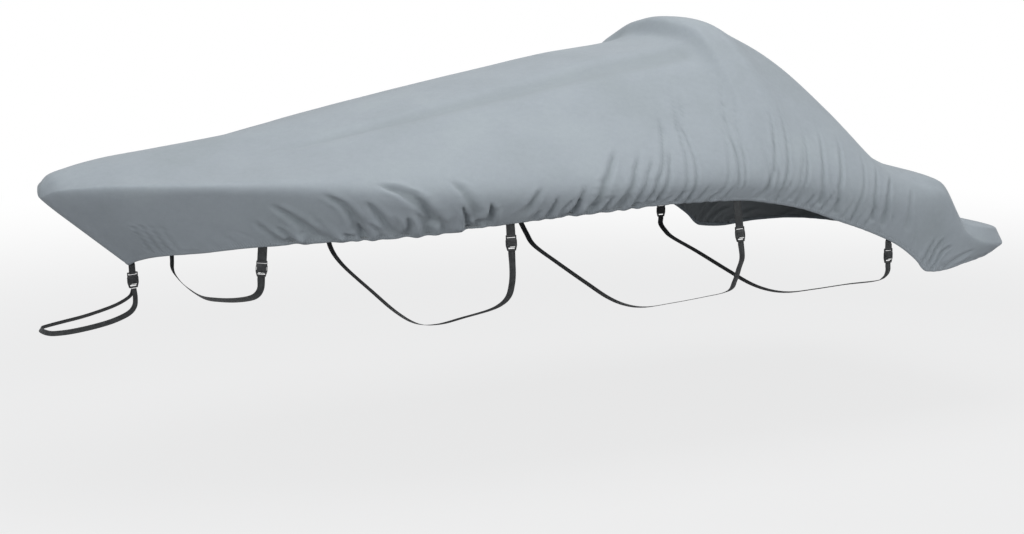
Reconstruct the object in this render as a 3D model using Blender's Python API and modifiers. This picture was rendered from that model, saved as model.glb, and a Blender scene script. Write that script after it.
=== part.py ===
"""Fitted trailering cover for a runabout boat, shaped as it sits over a hull, with its hull straps.

The hull, the trailer and the winch post are not part of it, so the cover is a hollow shell.
Frame: +X aft, +Y starboard, +Z up, metres. The origin is on the under side of the cloth at the
top of the crown. The tables below are measured from the bow tip (aft), from the centreline (out)
and from the ground (up), and are moved to the origin when the pieces are made.
"""
import math

import bpy
import bmesh
import numpy as np
from mathutils import Matrix, Vector

# Driving sizes
CROWN_AFT = 3.67
CROWN_UP = 2.148
CLOTH = 0.002
WEB_WIDE = 0.050
WEB_NARROW = 0.034
WEB_BOW = 0.026
WEB_THICK = 0.003
TAB_THICK = 0.005
BUCKLE_WIDE = 0.054
BUCKLE_LONG = 0.078
BUCKLE_THICK = 0.012
BUCKLE_TAIL = 0.026
PIN_LONG = 0.030
PIN_RADIUS = 0.0040
GAP = 0.0004
CLEAR = 0.006
TUCK = 0.024
LEAD = 0.012

# Four lines run round the cover from the bow centreline to the stern centreline.
# Columns: station, aft, out, up.
HEM_LINE = (
    (0.0, 0.450, 0.000, 1.050), (0.45, 0.468, 0.050, 1.072), (1, 0.530, 0.180, 1.108),
    (2, 0.680, 0.345, 1.134), (3, 0.900, 0.515, 1.167), (4, 1.210, 0.675, 1.184),
    (5, 1.600, 0.830, 1.200), (6, 2.110, 0.948, 1.245), (7, 2.600, 1.015, 1.270),
    (8, 3.000, 1.048, 1.286), (9, 3.380, 1.063, 1.277), (10, 3.600, 1.069, 1.245),
    (11, 3.800, 1.070, 1.200), (12, 4.000, 1.070, 1.131), (13, 4.210, 1.062, 1.060),
    (14, 4.450, 1.052, 0.958), (15, 4.580, 1.045, 0.872), (16, 4.675, 1.038, 0.795),
    (17, 4.820, 1.010, 0.783), (18, 5.040, 0.965, 0.805), (19, 5.250, 0.870, 0.815),
    (20, 5.360, 0.620, 0.820), (22, 5.410, 0.000, 0.825),
)
GUNWALE_LINE = (
    (0.0, 0.000, 0.000, 1.405), (0.45, 0.030, 0.120, 1.440), (1, 0.100, 0.225, 1.462),
    (2, 0.280, 0.400, 1.484), (3, 0.600, 0.625, 1.496), (4, 1.000, 0.820, 1.502),
    (5, 1.450, 0.990, 1.500), (6, 2.000, 1.105, 1.492), (7, 2.550, 1.140, 1.485),
    (8, 3.000, 1.155, 1.480), (9, 3.420, 1.153, 1.468), (10, 3.640, 1.150, 1.448),
    (11, 3.840, 1.145, 1.420), (12, 4.040, 1.140, 1.385), (13, 4.250, 1.130, 1.340),
    (14, 4.450, 1.115, 1.280), (15, 4.620, 1.090, 1.230), (16, 4.790, 1.065, 1.180),
    (17, 4.970, 1.035, 0.970), (18, 5.150, 1.000, 0.900), (19, 5.350, 0.900, 0.875),
    (20, 5.460, 0.650, 0.870), (22, 5.490, 0.000, 0.870),
)
SHOULDER_LINE = (
    (0.0, 0.000, 0.000, 1.455), (0.45, 0.050, 0.050, 1.508), (1, 0.160, 0.085, 1.537),
    (2, 0.360, 0.140, 1.568), (3, 0.700, 0.220, 1.590), (4, 1.050, 0.300, 1.612),
    (5, 1.500, 0.360, 1.688), (6, 2.000, 0.390, 1.775), (7, 2.550, 0.400, 1.865),
    (8, 2.980, 0.410, 1.935), (9, 3.565, 0.420, 2.020), (9.3, 3.655, 0.430, 2.084),
    (10, 3.770, 0.460, 2.084), (11, 3.920, 0.500, 1.985), (12, 4.120, 0.550, 1.860),
    (13, 4.290, 0.630, 1.685), (14, 4.440, 0.770, 1.440), (15, 4.620, 0.890, 1.335),
    (16, 4.810, 0.960, 1.288), (17, 5.000, 0.965, 1.035), (18, 5.150, 0.955, 1.005),
    (19, 5.320, 0.860, 0.975), (20, 5.430, 0.610, 0.955), (22, 5.460, 0.000, 0.950),
)
CROWN_LINE = (
    (0.0, 0.010, 0.000, 1.482), (0.45, 0.060, 0.000, 1.527), (1, 0.170, 0.000, 1.554),
    (2, 0.370, 0.000, 1.584), (3, 0.700, 0.000, 1.626), (4, 1.050, 0.000, 1.670),
    (5, 1.500, 0.000, 1.748), (6, 2.000, 0.000, 1.830), (7, 2.550, 0.000, 1.915),
    (8, 2.980, 0.000, 1.980), (9, 3.580, 0.000, 2.052), (9.3, 3.625, 0.000, 2.150),
    (9.6, 3.670, 0.000, 2.168), (10, 3.760, 0.000, 2.162), (11, 3.980, 0.000, 2.085),
    (12, 4.220, 0.000, 1.965), (13, 4.420, 0.000, 1.780), (14, 4.610, 0.000, 1.520),
    (15, 4.760, 0.000, 1.375), (16, 4.890, 0.000, 1.308), (17, 5.050, 0.000, 1.060),
    (18, 5.190, 0.000, 1.020), (19, 5.310, 0.000, 0.995), (20, 5.380, 0.000, 0.985),
    (22, 5.410, 0.000, 0.980),
)
# How soft the turn of the cloth is along two of those lines, 0 sharp to 1 full.
# Columns: station, softness.
GUNWALE_SOFT = ((0, 0.5), (1, 0.35), (3, 0.25), (4, 0.45), (5, 0.9), (6, 1.15), (9, 1.2), (13, 1.0),
                (16, 0.7), (17, 0.25), (22, 0.25))
SHOULDER_SOFT = ((0, 0.6), (3, 0.8), (6, 0.8), (8.5, 0.9), (9.2, 0.8), (10, 1.4), (12, 1.2),
                 (16, 0.6), (17, 0.4), (22, 0.4))
CROWN_SOFT = 0.27
# How far the wall bellies out above the hem, which the elastic pulls back in. The bulge ends at
# BELLY_GIRTH, and BELLY_FULL brings its curve to 1 where it is widest. Columns: station, bulge.
BELLY = ((0, 0.0), (2.5, 0.0), (4.5, 0.028), (6, 0.034), (8, 0.018), (10, 0.013), (13, 0.012),
         (15, 0.006), (16.5, 0.0), (22, 0.0))
BELLY_GIRTH = 0.50
BELLY_FULL = 6.75
GUNWALE_GIRTH = 0.34
SHOULDER_GIRTH = 0.70
# Widest that each turn can be, in girth, and how far a strap holds the cloth free of folds.
GUNWALE_TURN = 0.36
SHOULDER_TURN = 0.30
CALM_RADIUS = 0.11

# Main folds. Girth runs from 0 at the hem to 1 at the crown.
# Columns: top station, top girth, foot station, foot girth, half width, depth.
FOLDS = (
    (3.00, 0.17, 3.45, 0.00, 0.055, 0.020),
    (3.58, 0.22, 3.95, 0.01, 0.060, 0.022),
    (4.12, 0.29, 4.38, 0.05, 0.055, 0.022),
    (4.75, 0.33, 5.05, 0.10, 0.060, 0.022),
    (5.42, 0.34, 5.58, 0.08, 0.060, 0.018),
    (6.25, 0.25, 5.98, 0.02, 0.060, 0.020),
    (6.72, 0.24, 6.52, 0.04, 0.055, 0.016),
    (7.35, 0.44, 6.80, 0.06, 0.055, 0.018),
    (7.70, 0.42, 7.12, 0.03, 0.055, 0.018),
    (8.30, 0.55, 7.62, 0.10, 0.055, 0.018),
    (8.58, 0.58, 8.12, 0.02, 0.055, 0.018),
    (9.12, 0.56, 8.80, 0.05, 0.055, 0.020),
    (10.1, 0.48, 9.60, 0.06, 0.060, 0.018),
    (11.2, 0.50, 10.7, 0.10, 0.060, 0.018),
    (11.9, 0.50, 11.4, 0.08, 0.055, 0.018),
    (12.6, 0.48, 12.1, 0.08, 0.055, 0.018),
    (13.4, 0.44, 13.1, 0.10, 0.055, 0.016),
    (14.1, 0.42, 13.8, 0.10, 0.055, 0.014),
    (16.6, 0.22, 15.9, 0.02, 0.050, 0.014),
)
DECK_TROUGH = (4.0, 0.69, 7.95, 0.73, 0.060, 0.010)
# The far side creases at other places than the near side: shift in stations, share of the depth.
STARBOARD_SHIFT = 0.24
STARBOARD_DEPTH = 0.85

# Rows of the cloth grid. Columns: from station, to station, steps.
STATION_STEPS = ((0, 1, 4), (1, 3, 6), (3, 8, 21), (8, 9, 4), (9, 9.6, 4), (9.6, 12, 7),
                 (12, 16, 10), (16, 18, 5), (18, 20, 4), (20, 22, 3))
GIRTH_ROWS = (0.0, 0.05, 0.11, 0.17, 0.23, 0.29, 0.35, 0.41, 0.47, 0.53, 0.59, 0.65, 0.71,
              0.78, 0.85, 0.92, 1.0)

# Straps under the hull. Columns: name, station at the hem, length of the webbing above the
# buckle; then, from the foot of the buckle to the keel, rows of out, up and shift aft.
STRAPS = (
    ("1", 3.07, 0.075, ((0.500, 0.965, 0.000), (0.478, 0.930, -0.010), (0.420, 0.905, -0.022),
                        (0.300, 0.880, -0.040), (0.160, 0.862, -0.055), (0.000, 0.850, -0.062))),
    ("2", 5.92, 0.062, ((0.956, 1.000, 0.000), (0.946, 0.935, 0.000), (0.916, 0.880, 0.002),
                        (0.850, 0.832, 0.004), (0.730, 0.782, 0.006), (0.480, 0.706, 0.008),
                        (0.220, 0.630, 0.010), (0.000, 0.600, 0.010))),
    ("3", 8.96, 0.140, ((1.090, 0.985, 0.010), (1.052, 0.925, 0.020), (1.000, 0.850, 0.034),
                        (0.930, 0.785, 0.044), (0.700, 0.718, 0.048), (0.400, 0.640, 0.050),
                        (0.180, 0.588, 0.050), (0.000, 0.572, 0.050))),
    ("4", 13.72, 0.045, ((1.045, 0.822, 0.000), (1.012, 0.786, 0.008), (0.940, 0.752, 0.012),
                         (0.700, 0.700, 0.014), (0.400, 0.628, 0.016), (0.180, 0.580, 0.016),
                         (0.000, 0.566, 0.016))),
)
# Strap from the bow pocket round the winch post. Rows of aft, out and up.
BOW_TAB_LONG = 0.058
BOW_AFT = 0.468
BOW_UP = 1.072
BOW_RAKE = 0.06
BOW_LOOP = (
    (0.4765, -0.0045, 0.9330), (0.479, -0.012, 0.890), (0.466, -0.030, 0.850),
    (0.425, -0.048, 0.820),
    (0.340, -0.060, 0.794), (0.235, -0.066, 0.776), (0.120, -0.068, 0.764),
    (0.040, -0.066, 0.762), (0.006, -0.052, 0.764), (-0.004, 0.000, 0.767),
    (0.006, 0.052, 0.771), (0.040, 0.066, 0.776), (0.120, 0.068, 0.788),
    (0.235, 0.064, 0.806), (0.340, 0.052, 0.832), (0.410, 0.034, 0.858),
    (0.462, 0.012, 0.894), (0.4755, 0.0045, 0.9300),
)

# Colours
GREY_BLUE = (0.36, 0.40, 0.42, 1.0)
WEB_BLACK = (0.025, 0.027, 0.028, 1.0)
BUCKLE_BLACK = (0.03, 0.032, 0.034, 1.0)
PIN_STEEL = (0.72, 0.72, 0.70, 1.0)


for old in list(bpy.data.objects):
    bpy.data.objects.remove(old, do_unlink=True)
assembly = bpy.data.collections.new("boat_cover")
bpy.context.scene.collection.children.link(assembly)


def material(name, colour, roughness, metallic=0.0):
    """Make a plain surface material."""
    made = bpy.data.materials.new(name)
    made.use_nodes = True
    surface = made.node_tree.nodes["Principled BSDF"]
    surface.inputs["Base Color"].default_value = colour
    surface.inputs["Roughness"].default_value = roughness
    surface.inputs["Metallic"].default_value = metallic
    return made


def add_object(name, data, paint):
    """Link one named piece with its material."""
    made = bpy.data.objects.new(name, data)
    made.data.materials.append(paint)
    assembly.objects.link(made)
    return made


def placed(aft, out, up):
    """Move a point of the tables to the frame of the part."""
    return Vector((aft - CROWN_AFT, out, up - CROWN_UP))


def line_points(table, stations):
    """Read a line table at any stations, smoothly and without overshoot."""
    rows = np.array(table, float)
    knots = rows[:, 0]
    points = rows[:, 1:]
    mirror = np.array([1.0, -1.0, 1.0])
    knots = np.concatenate([[2 * knots[0] - knots[1]], knots, [2 * knots[-1] - knots[-2]]])
    points = np.vstack([points[1] * mirror, points, points[-2] * mirror])
    span = np.diff(knots)[:, None]
    slope = np.diff(points, axis=0) / span
    before, after = slope[:-1], slope[1:]
    weight_a = 2 * span[1:] + span[:-1]
    weight_b = span[1:] + 2 * span[:-1]
    same_way = before * after > 0
    safe_a = np.where(same_way, before, 1.0)
    safe_b = np.where(same_way, after, 1.0)
    inner = np.where(same_way, (weight_a + weight_b) / (weight_a / safe_a + weight_b / safe_b), 0.0)
    plain = (span[1:] * before + span[:-1] * after) / (span[1:] + span[:-1])
    inner[0] = plain[0]
    inner[-1] = plain[-1]
    tangent = np.vstack([slope[:1], inner, slope[-1:]])
    left = np.clip(np.searchsorted(knots, stations, side="right") - 1, 0, len(knots) - 2)
    width = (knots[left + 1] - knots[left])[:, None]
    t = (stations - knots[left])[:, None] / width
    return ((2 * t**3 - 3 * t**2 + 1) * points[left] + (t**3 - 2 * t**2 + t) * width * tangent[left]
            + (3 * t**2 - 2 * t**3) * points[left + 1] + (t**3 - t**2) * width * tangent[left + 1])


def soft_turn(girth, corner, width):
    """A ramp that starts at the corner, rounded over the width."""
    offset = girth - corner
    rounded = (offset + width / 2) ** 2 / (2 * width)
    return np.where(offset <= -width / 2, 0.0, np.where(offset >= width / 2, offset, rounded))


def taut_cover(stations, girths, side):
    """Points of the unfolded cover on one side, -1 port or 1 starboard."""
    hem, gunwale, shoulder, crown = (
        line_points(table, stations)
        for table in (HEM_LINE, GUNWALE_LINE, SHOULDER_LINE, CROWN_LINE))
    low = (gunwale - hem) / GUNWALE_GIRTH
    middle = (shoulder - gunwale) / (SHOULDER_GIRTH - GUNWALE_GIRTH)
    top = (crown - shoulder) / (1 - SHOULDER_GIRTH)
    over = top * np.array([-1.0, 1.0, -1.0])
    gunwale_width = GUNWALE_TURN * np.interp(stations, *np.array(GUNWALE_SOFT).T)
    shoulder_width = SHOULDER_TURN * np.interp(stations, *np.array(SHOULDER_SOFT).T)
    found = (hem + low * girths[:, None]
             + (middle - low) * soft_turn(girths, GUNWALE_GIRTH, gunwale_width)[:, None]
             + (top - middle) * soft_turn(girths, SHOULDER_GIRTH, shoulder_width)[:, None]
             + (over - top) * soft_turn(girths, 1.0, CROWN_SOFT)[:, None])
    share = np.clip(girths / BELLY_GIRTH, 0, 1)
    found[:, 1] += np.interp(stations, *np.array(BELLY).T) * BELLY_FULL * share * (1 - share) ** 2
    found[:, 1] *= side
    return found


def fold_depth(points, shift, share, side):
    """How far the folds draw each point in."""
    depth = np.zeros(len(points))
    for top_station, top_girth, foot_station, foot_girth, half_width, drop in FOLDS + (DECK_TROUGH,):
        steps = np.linspace(0, 1, 7)
        path = taut_cover(top_station + shift + (foot_station - top_station) * steps,
                          top_girth + (foot_girth - top_girth) * steps, side)
        nearest = np.full(len(points), 1e9)
        along = np.zeros(len(points))
        for step in range(6):
            start = path[step]
            run = path[step + 1] - start
            t = np.clip((points - start) @ run / (run @ run), 0, 1)
            gap = np.linalg.norm(points - start - t[:, None] * run, axis=1)
            along = np.where(gap < nearest, (step + t) / 6, along)
            nearest = np.minimum(gap, nearest)
        across = (nearest / half_width) ** 2
        fade = np.clip(along * 4, 0, 1) * (1 - 0.35 * along)
        depth += share * drop * (1 - 0.8 * across) * np.exp(-across) * fade
    return depth


def strap_calm(points):
    """1 away from the straps, 0 where a strap holds the cloth flat."""
    calm = np.ones(len(points))
    for _, station, _, _ in STRAPS:
        for side in (-1, 1):
            centre = taut_cover(np.array([station]), np.array([0.04]), side)[0]
            away = np.linalg.norm(points - centre, axis=1)
            calm *= 1 - np.exp(-(away / CALM_RADIUS) ** 4)
    return calm


def folded_cover(stations, girths, side):
    """Points of the cover with its folds."""
    points = taut_cover(stations, girths, side)
    small = 1e-3
    along = (taut_cover(np.minimum(stations + small, 22), girths, side)
             - taut_cover(np.maximum(stations - small, 0), girths, side))
    up = (taut_cover(stations, np.minimum(girths + small, 1), side)
          - taut_cover(stations, np.maximum(girths - small, 0), side))
    normal = np.cross(along, up) * -side
    normal /= np.maximum(np.linalg.norm(normal, axis=1), 1e-9)[:, None]
    if side < 0:
        depth = fold_depth(points, 0.0, 1.0, side)
    else:
        depth = fold_depth(points, STARBOARD_SHIFT, STARBOARD_DEPTH, side)
    ends = np.clip(stations / 1.0, 0, 1) * np.clip((22 - stations) / 3.0, 0, 1)
    middle = np.clip((1 - girths) / 0.1, 0, 1)
    depth = depth * ends * middle * strap_calm(points)
    return points - normal * depth[:, None]


def make_cover(paint):
    """One open sheet of cloth from hem to hem, given its thickness by Solidify."""
    stations = [0.0]
    for first, last, steps in STATION_STEPS:
        stations += [first + (last - first) * (k + 1) / steps for k in range(steps)]
    rows = len(GIRTH_ROWS)
    port, starboard = (
        [folded_cover(np.full(rows, station), np.array(GIRTH_ROWS), side) for station in stations]
        for side in (-1, 1))
    mesh = bmesh.new()
    grid = []
    for number in range(len(stations)):
        on_stem = number in (0, len(stations) - 1)
        left = [mesh.verts.new(placed(*point)) for point in port[number]]
        if on_stem:
            right = left[:-1]
        else:
            right = [mesh.verts.new(placed(*point)) for point in starboard[number][:-1]]
        grid.append(left + right[::-1])
    for ring, following in zip(grid, grid[1:]):
        for k in range(len(ring) - 1):
            mesh.faces.new((ring[k], following[k], following[k + 1], ring[k + 1]))
    mesh.normal_update()
    if max(mesh.faces, key=lambda face: face.calc_center_median().z).normal.z < 0:
        bmesh.ops.reverse_faces(mesh, faces=mesh.faces)
    data = bpy.data.meshes.new("cover")
    mesh.to_mesh(data)
    mesh.free()
    made = add_object("cover", data, paint)
    thick = made.modifiers.new("cloth thickness", 'SOLIDIFY')
    thick.thickness = CLOTH
    thick.offset = -1
    data.shade_smooth()
    return made


def smooth_path(points, per_span):
    """A smooth line through the points."""
    ends = [points[0] * 2 - points[1]] + points + [points[-1] * 2 - points[-2]]
    found = []
    for a, b, c, d in zip(ends, ends[1:], ends[2:], ends[3:]):
        for step in range(per_span):
            t = step / per_span
            found.append(0.5 * (2 * b + (c - a) * t + (2 * a - 5 * b + 4 * c - d) * t * t
                                + (3 * b - a - 3 * c + d) * t * t * t))
    return found + [points[-1]]


def make_webbing(name, path, across, widths, thickness, paint):
    """A flat strap along a path. The width direction is carried along without twist."""
    mesh = bmesh.new()
    previous = None
    lengths = [0.0]
    for a, b in zip(path, path[1:]):
        lengths.append(lengths[-1] + (b - a).length)
    for number, point in enumerate(path):
        behind = path[max(number - 1, 0)]
        ahead = path[min(number + 1, len(path) - 1)]
        run = (ahead - behind).normalized()
        across = (across - run * across.dot(run)).normalized()
        normal = run.cross(across)
        share = lengths[number] / lengths[-1]
        width = np.interp(share, *np.array(widths).T)
        ring = [mesh.verts.new(point + across * (width / 2) * i + normal * (thickness / 2) * j)
                for i, j in ((-1, -1), (1, -1), (1, 1), (-1, 1))]
        if previous is None:
            mesh.faces.new(ring[::-1])
        else:
            for k in range(4):
                mesh.faces.new((previous[k], previous[(k + 1) % 4], ring[(k + 1) % 4], ring[k]))
        previous = ring
    mesh.faces.new(previous)
    bmesh.ops.recalc_face_normals(mesh, faces=mesh.faces)
    data = bpy.data.meshes.new(name)
    mesh.to_mesh(data)
    mesh.free()
    return add_object(name, data, paint)


def frame_matrix(first, second, third, place):
    """The matrix that has these axes and this place."""
    made = Matrix((first, second, third)).transposed().to_4x4()
    made.translation = place
    return made


def make_buckle(name, pin_name, top, down, across, outward, paint, pin_paint):
    """A moulded buckle with a tapered tail, and the bright pin that the webbing turns round."""
    half = BUCKLE_WIDE / 2
    tail = WEB_NARROW / 2 + 0.004
    long_side = BUCKLE_LONG - BUCKLE_TAIL
    outline = ((-half, 0), (-half, -0.020), (-half - 0.003, -0.026), (-half - 0.003, -long_side),
               (-tail, -BUCKLE_LONG), (tail, -BUCKLE_LONG), (half + 0.003, -long_side),
               (half + 0.003, -0.026), (half, -0.020), (half, 0))
    shape = bpy.data.curves.new(name, 'CURVE')
    shape.dimensions = '2D'
    shape.fill_mode = 'BOTH'
    shape.extrude = BUCKLE_THICK / 2
    line = shape.splines.new('POLY')
    line.points.add(len(outline) - 1)
    for corner, (x, y) in zip(line.points, outline):
        corner.co = (x, y, 0, 1)
    line.use_cyclic_u = True
    buckle = add_object(name, shape, paint)
    buckle.matrix_world = frame_matrix(across, -down, outward, top)
    weld = buckle.modifiers.new("caps", 'WELD')
    weld.merge_threshold = 0.00001
    edge = buckle.modifiers.new("moulded edges", 'BEVEL')
    edge.width = 0.0015
    edge.segments = 1
    middle = top + down * (long_side + 0.006) + outward * (BUCKLE_THICK / 2 + PIN_RADIUS + GAP)
    bpy.ops.mesh.primitive_cylinder_add(vertices=12, radius=PIN_RADIUS, depth=PIN_LONG)
    pin = bpy.context.object
    pin.name = pin_name
    pin.data.name = pin_name
    for holder in list(pin.users_collection):
        holder.objects.unlink(pin)
    assembly.objects.link(pin)
    pin.data.materials.append(pin_paint)
    pin.matrix_world = frame_matrix(outward, across, -down, middle) @ Matrix.Rotation(math.pi / 2, 4, 'X')
    pin.data.shade_smooth()
    pin.data.set_sharp_from_angle(angle=math.radians(40))


cloth_paint = material("cover", GREY_BLUE, 0.75)
web_paint = material("webbing", WEB_BLACK, 0.8)
buckle_paint = material("buckle", BUCKLE_BLACK, 0.45)
pin_paint = material("pin", PIN_STEEL, 0.3, 1.0)

make_cover(cloth_paint)

for strap, station, tab_long, hull_rows in STRAPS:
    ends = {}
    half_routes = {}
    for side_name, side in (("port", -1), ("starboard", 1)):
        edge, before, after, above = (
            taut_cover(np.array([station + step]), np.array([girth]), side)[0]
            for step, girth in ((0, 0.0), (-0.05, 0.0), (0.05, 0.0), (0, 0.10)))
        aft = Vector(after - before).normalized()
        rise = Vector(above - edge)
        rise = (rise - aft * rise.dot(aft)).normalized()
        inward = aft.cross(rise) * side
        hem_point = placed(*edge) + inward * (CLOTH + CLEAR + TAB_THICK / 2)
        foot = placed(edge[0] + hull_rows[0][2], side * hull_rows[0][0], hull_rows[0][1])
        down = (foot - hem_point).normalized()
        aft = (aft - down * aft.dot(down)).normalized()
        outward = aft.cross(down) * side
        tab_foot = hem_point + down * tab_long
        make_webbing(f"tab_{side_name}_{strap}",
                     [hem_point + rise * TUCK, hem_point + rise * 0.004, hem_point + down * 0.006,
                      tab_foot],
                     aft, ((0, WEB_WIDE), (1, WEB_WIDE)), TAB_THICK, web_paint)
        top = tab_foot + down * GAP
        make_buckle(f"buckle_{side_name}_{strap}", f"pin_{side_name}_{strap}", top, down, aft * -side,
                    outward, buckle_paint, pin_paint)
        ends[side] = top + down * (BUCKLE_LONG + GAP)
        half_routes[side] = [ends[side] + down * LEAD]
        if side < 0:
            port_across = aft
        half_routes[side] += [placed(edge[0] + shift, side * out, up) for out, up, shift in hull_rows]
    route = smooth_path(half_routes[-1] + half_routes[1][-2::-1], 2)
    make_webbing(f"strap_{strap}", [ends[-1]] + route + [ends[1]], port_across,
                 ((0, WEB_NARROW), (1, WEB_NARROW)), WEB_THICK, web_paint)

bow_top = placed(BOW_AFT, 0, BOW_UP)
bow_down = Vector((BOW_RAKE, 0, -1)).normalized()
bow_across = Vector((1, 0, BOW_RAKE)).normalized()
bow_foot = bow_top + bow_down * BOW_TAB_LONG
make_webbing("bow_tab", [bow_top, bow_foot], bow_across, ((0, WEB_NARROW), (1, WEB_NARROW)),
             TAB_THICK, web_paint)
make_buckle("bow_buckle", "bow_pin", bow_foot + bow_down * GAP, bow_down, bow_across,
            Vector((0, -1, 0)), buckle_paint, pin_paint)
bow_route = [placed(*point) for point in BOW_LOOP]
make_webbing("bow_strap", smooth_path(bow_route, 2), Vector((-1, 0, 0)),
             ((0, WEB_BOW), (1, WEB_BOW)), WEB_THICK, web_paint)
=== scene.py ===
"""Fitted trailering cover for a runabout boat, with its hull straps, as it sits over a hull."""
import math

import bpy
import bmesh
import numpy as np
from mathutils import Matrix, Vector, noise


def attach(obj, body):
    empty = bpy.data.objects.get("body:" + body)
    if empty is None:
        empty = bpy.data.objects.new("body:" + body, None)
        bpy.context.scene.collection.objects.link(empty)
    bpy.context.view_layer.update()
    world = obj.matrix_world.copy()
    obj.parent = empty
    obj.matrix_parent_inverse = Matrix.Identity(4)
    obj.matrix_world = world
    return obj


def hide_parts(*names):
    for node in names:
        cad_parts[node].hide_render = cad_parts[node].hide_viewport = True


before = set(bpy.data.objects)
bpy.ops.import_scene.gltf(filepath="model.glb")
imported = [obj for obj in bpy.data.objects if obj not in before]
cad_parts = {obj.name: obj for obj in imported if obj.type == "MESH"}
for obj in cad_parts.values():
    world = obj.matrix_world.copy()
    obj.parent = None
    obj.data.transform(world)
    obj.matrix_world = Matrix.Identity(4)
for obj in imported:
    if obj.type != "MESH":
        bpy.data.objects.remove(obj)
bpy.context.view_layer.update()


# Camera: a long lens on the port bow, a little above the gunwale, that takes in the whole boat
# and the ground under its trailer.
LENS = 93.27
CAMERA_PLACE = (-8.487, -11.818, 0.957)
CAMERA_YAW = math.radians(32.36)
CAMERA_PITCH = math.radians(9.16)


def add_object(name, data):
    """A new object in the scene."""
    added = bpy.data.objects.new(name, data)
    bpy.context.collection.objects.link(added)
    return added


camera_data = bpy.data.cameras.new("camera")
camera_data.lens = LENS
camera_data.sensor_width = 36
camera_data.clip_end = 200
camera = add_object("camera", camera_data)
camera.location = CAMERA_PLACE
camera.rotation_euler = (math.pi / 2 - CAMERA_PITCH, 0, -CAMERA_YAW)
bpy.context.scene.camera = camera


# Cover: one piece of coated polyester, cut and sewn to the boat. Four lines run round it from the
# bow centreline to the stern centreline: the hem, the gunwale crease, the shoulder over the deck
# and the crown. Its folds are creases that the elastic hem and the hull straps pull into it.
CROWN_AFT = 3.67
CROWN_UP = 2.148
STERN = 22.0
# Columns of each line: station, aft of the bow tip, out from the centreline, up from the ground.
HEM_LINE = (
    (0.0, 0.450, 0.000, 1.050), (0.45, 0.468, 0.050, 1.072), (1, 0.530, 0.180, 1.108),
    (2, 0.680, 0.345, 1.134), (3, 0.900, 0.515, 1.167), (4, 1.210, 0.675, 1.184),
    (5, 1.600, 0.830, 1.200), (6, 2.110, 0.948, 1.245), (7, 2.600, 1.015, 1.270),
    (8, 3.000, 1.048, 1.286), (9, 3.380, 1.063, 1.277), (10, 3.600, 1.069, 1.245),
    (11, 3.800, 1.070, 1.200), (12, 4.000, 1.070, 1.131), (13, 4.210, 1.062, 1.060),
    (14, 4.450, 1.052, 0.958), (15, 4.580, 1.045, 0.872), (16, 4.675, 1.038, 0.795),
    (17, 4.820, 1.010, 0.783), (18, 5.040, 0.965, 0.805), (19, 5.250, 0.870, 0.815),
    (20, 5.360, 0.620, 0.820), (22, 5.410, 0.000, 0.825),
)
GUNWALE_LINE = (
    (0.0, 0.000, 0.000, 1.405), (0.45, 0.030, 0.120, 1.440), (1, 0.100, 0.225, 1.462),
    (2, 0.280, 0.400, 1.484), (3, 0.600, 0.625, 1.496), (4, 1.000, 0.820, 1.502),
    (5, 1.450, 0.990, 1.500), (6, 2.000, 1.105, 1.492), (7, 2.550, 1.140, 1.485),
    (8, 3.000, 1.155, 1.480), (9, 3.420, 1.153, 1.468), (10, 3.640, 1.150, 1.448),
    (11, 3.840, 1.145, 1.420), (12, 4.040, 1.140, 1.385), (13, 4.250, 1.130, 1.340),
    (14, 4.450, 1.115, 1.280), (15, 4.620, 1.090, 1.230), (16, 4.790, 1.065, 1.180),
    (17, 4.970, 1.035, 0.970), (18, 5.150, 1.000, 0.900), (19, 5.350, 0.900, 0.875),
    (20, 5.460, 0.650, 0.870), (22, 5.490, 0.000, 0.870),
)
SHOULDER_LINE = (
    (0.0, 0.000, 0.000, 1.455), (0.45, 0.050, 0.050, 1.508), (1, 0.160, 0.085, 1.537),
    (2, 0.360, 0.140, 1.568), (3, 0.700, 0.220, 1.590), (4, 1.050, 0.300, 1.612),
    (5, 1.500, 0.360, 1.688), (6, 2.000, 0.390, 1.775), (7, 2.550, 0.400, 1.865),
    (8, 2.980, 0.410, 1.935), (9, 3.565, 0.420, 2.020), (9.3, 3.655, 0.430, 2.084),
    (10, 3.770, 0.460, 2.084), (11, 3.920, 0.500, 1.985), (12, 4.120, 0.550, 1.860),
    (13, 4.290, 0.630, 1.685), (14, 4.440, 0.770, 1.440), (15, 4.620, 0.890, 1.335),
    (16, 4.810, 0.960, 1.288), (17, 5.000, 0.965, 1.035), (18, 5.150, 0.955, 1.005),
    (19, 5.320, 0.860, 0.975), (20, 5.430, 0.610, 0.955), (22, 5.460, 0.000, 0.950),
)
CROWN_LINE = (
    (0.0, 0.010, 0.000, 1.482), (0.45, 0.060, 0.000, 1.527), (1, 0.170, 0.000, 1.554),
    (2, 0.370, 0.000, 1.584), (3, 0.700, 0.000, 1.626), (4, 1.050, 0.000, 1.670),
    (5, 1.500, 0.000, 1.748), (6, 2.000, 0.000, 1.830), (7, 2.550, 0.000, 1.915),
    (8, 2.980, 0.000, 1.980), (9, 3.580, 0.000, 2.052), (9.3, 3.625, 0.000, 2.150),
    (9.6, 3.670, 0.000, 2.168), (10, 3.760, 0.000, 2.162), (11, 3.980, 0.000, 2.085),
    (12, 4.220, 0.000, 1.965), (13, 4.420, 0.000, 1.780), (14, 4.610, 0.000, 1.520),
    (15, 4.760, 0.000, 1.375), (16, 4.890, 0.000, 1.308), (17, 5.050, 0.000, 1.060),
    (18, 5.190, 0.000, 1.020), (19, 5.310, 0.000, 0.995), (20, 5.380, 0.000, 0.985),
    (22, 5.410, 0.000, 0.980),
)
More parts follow.
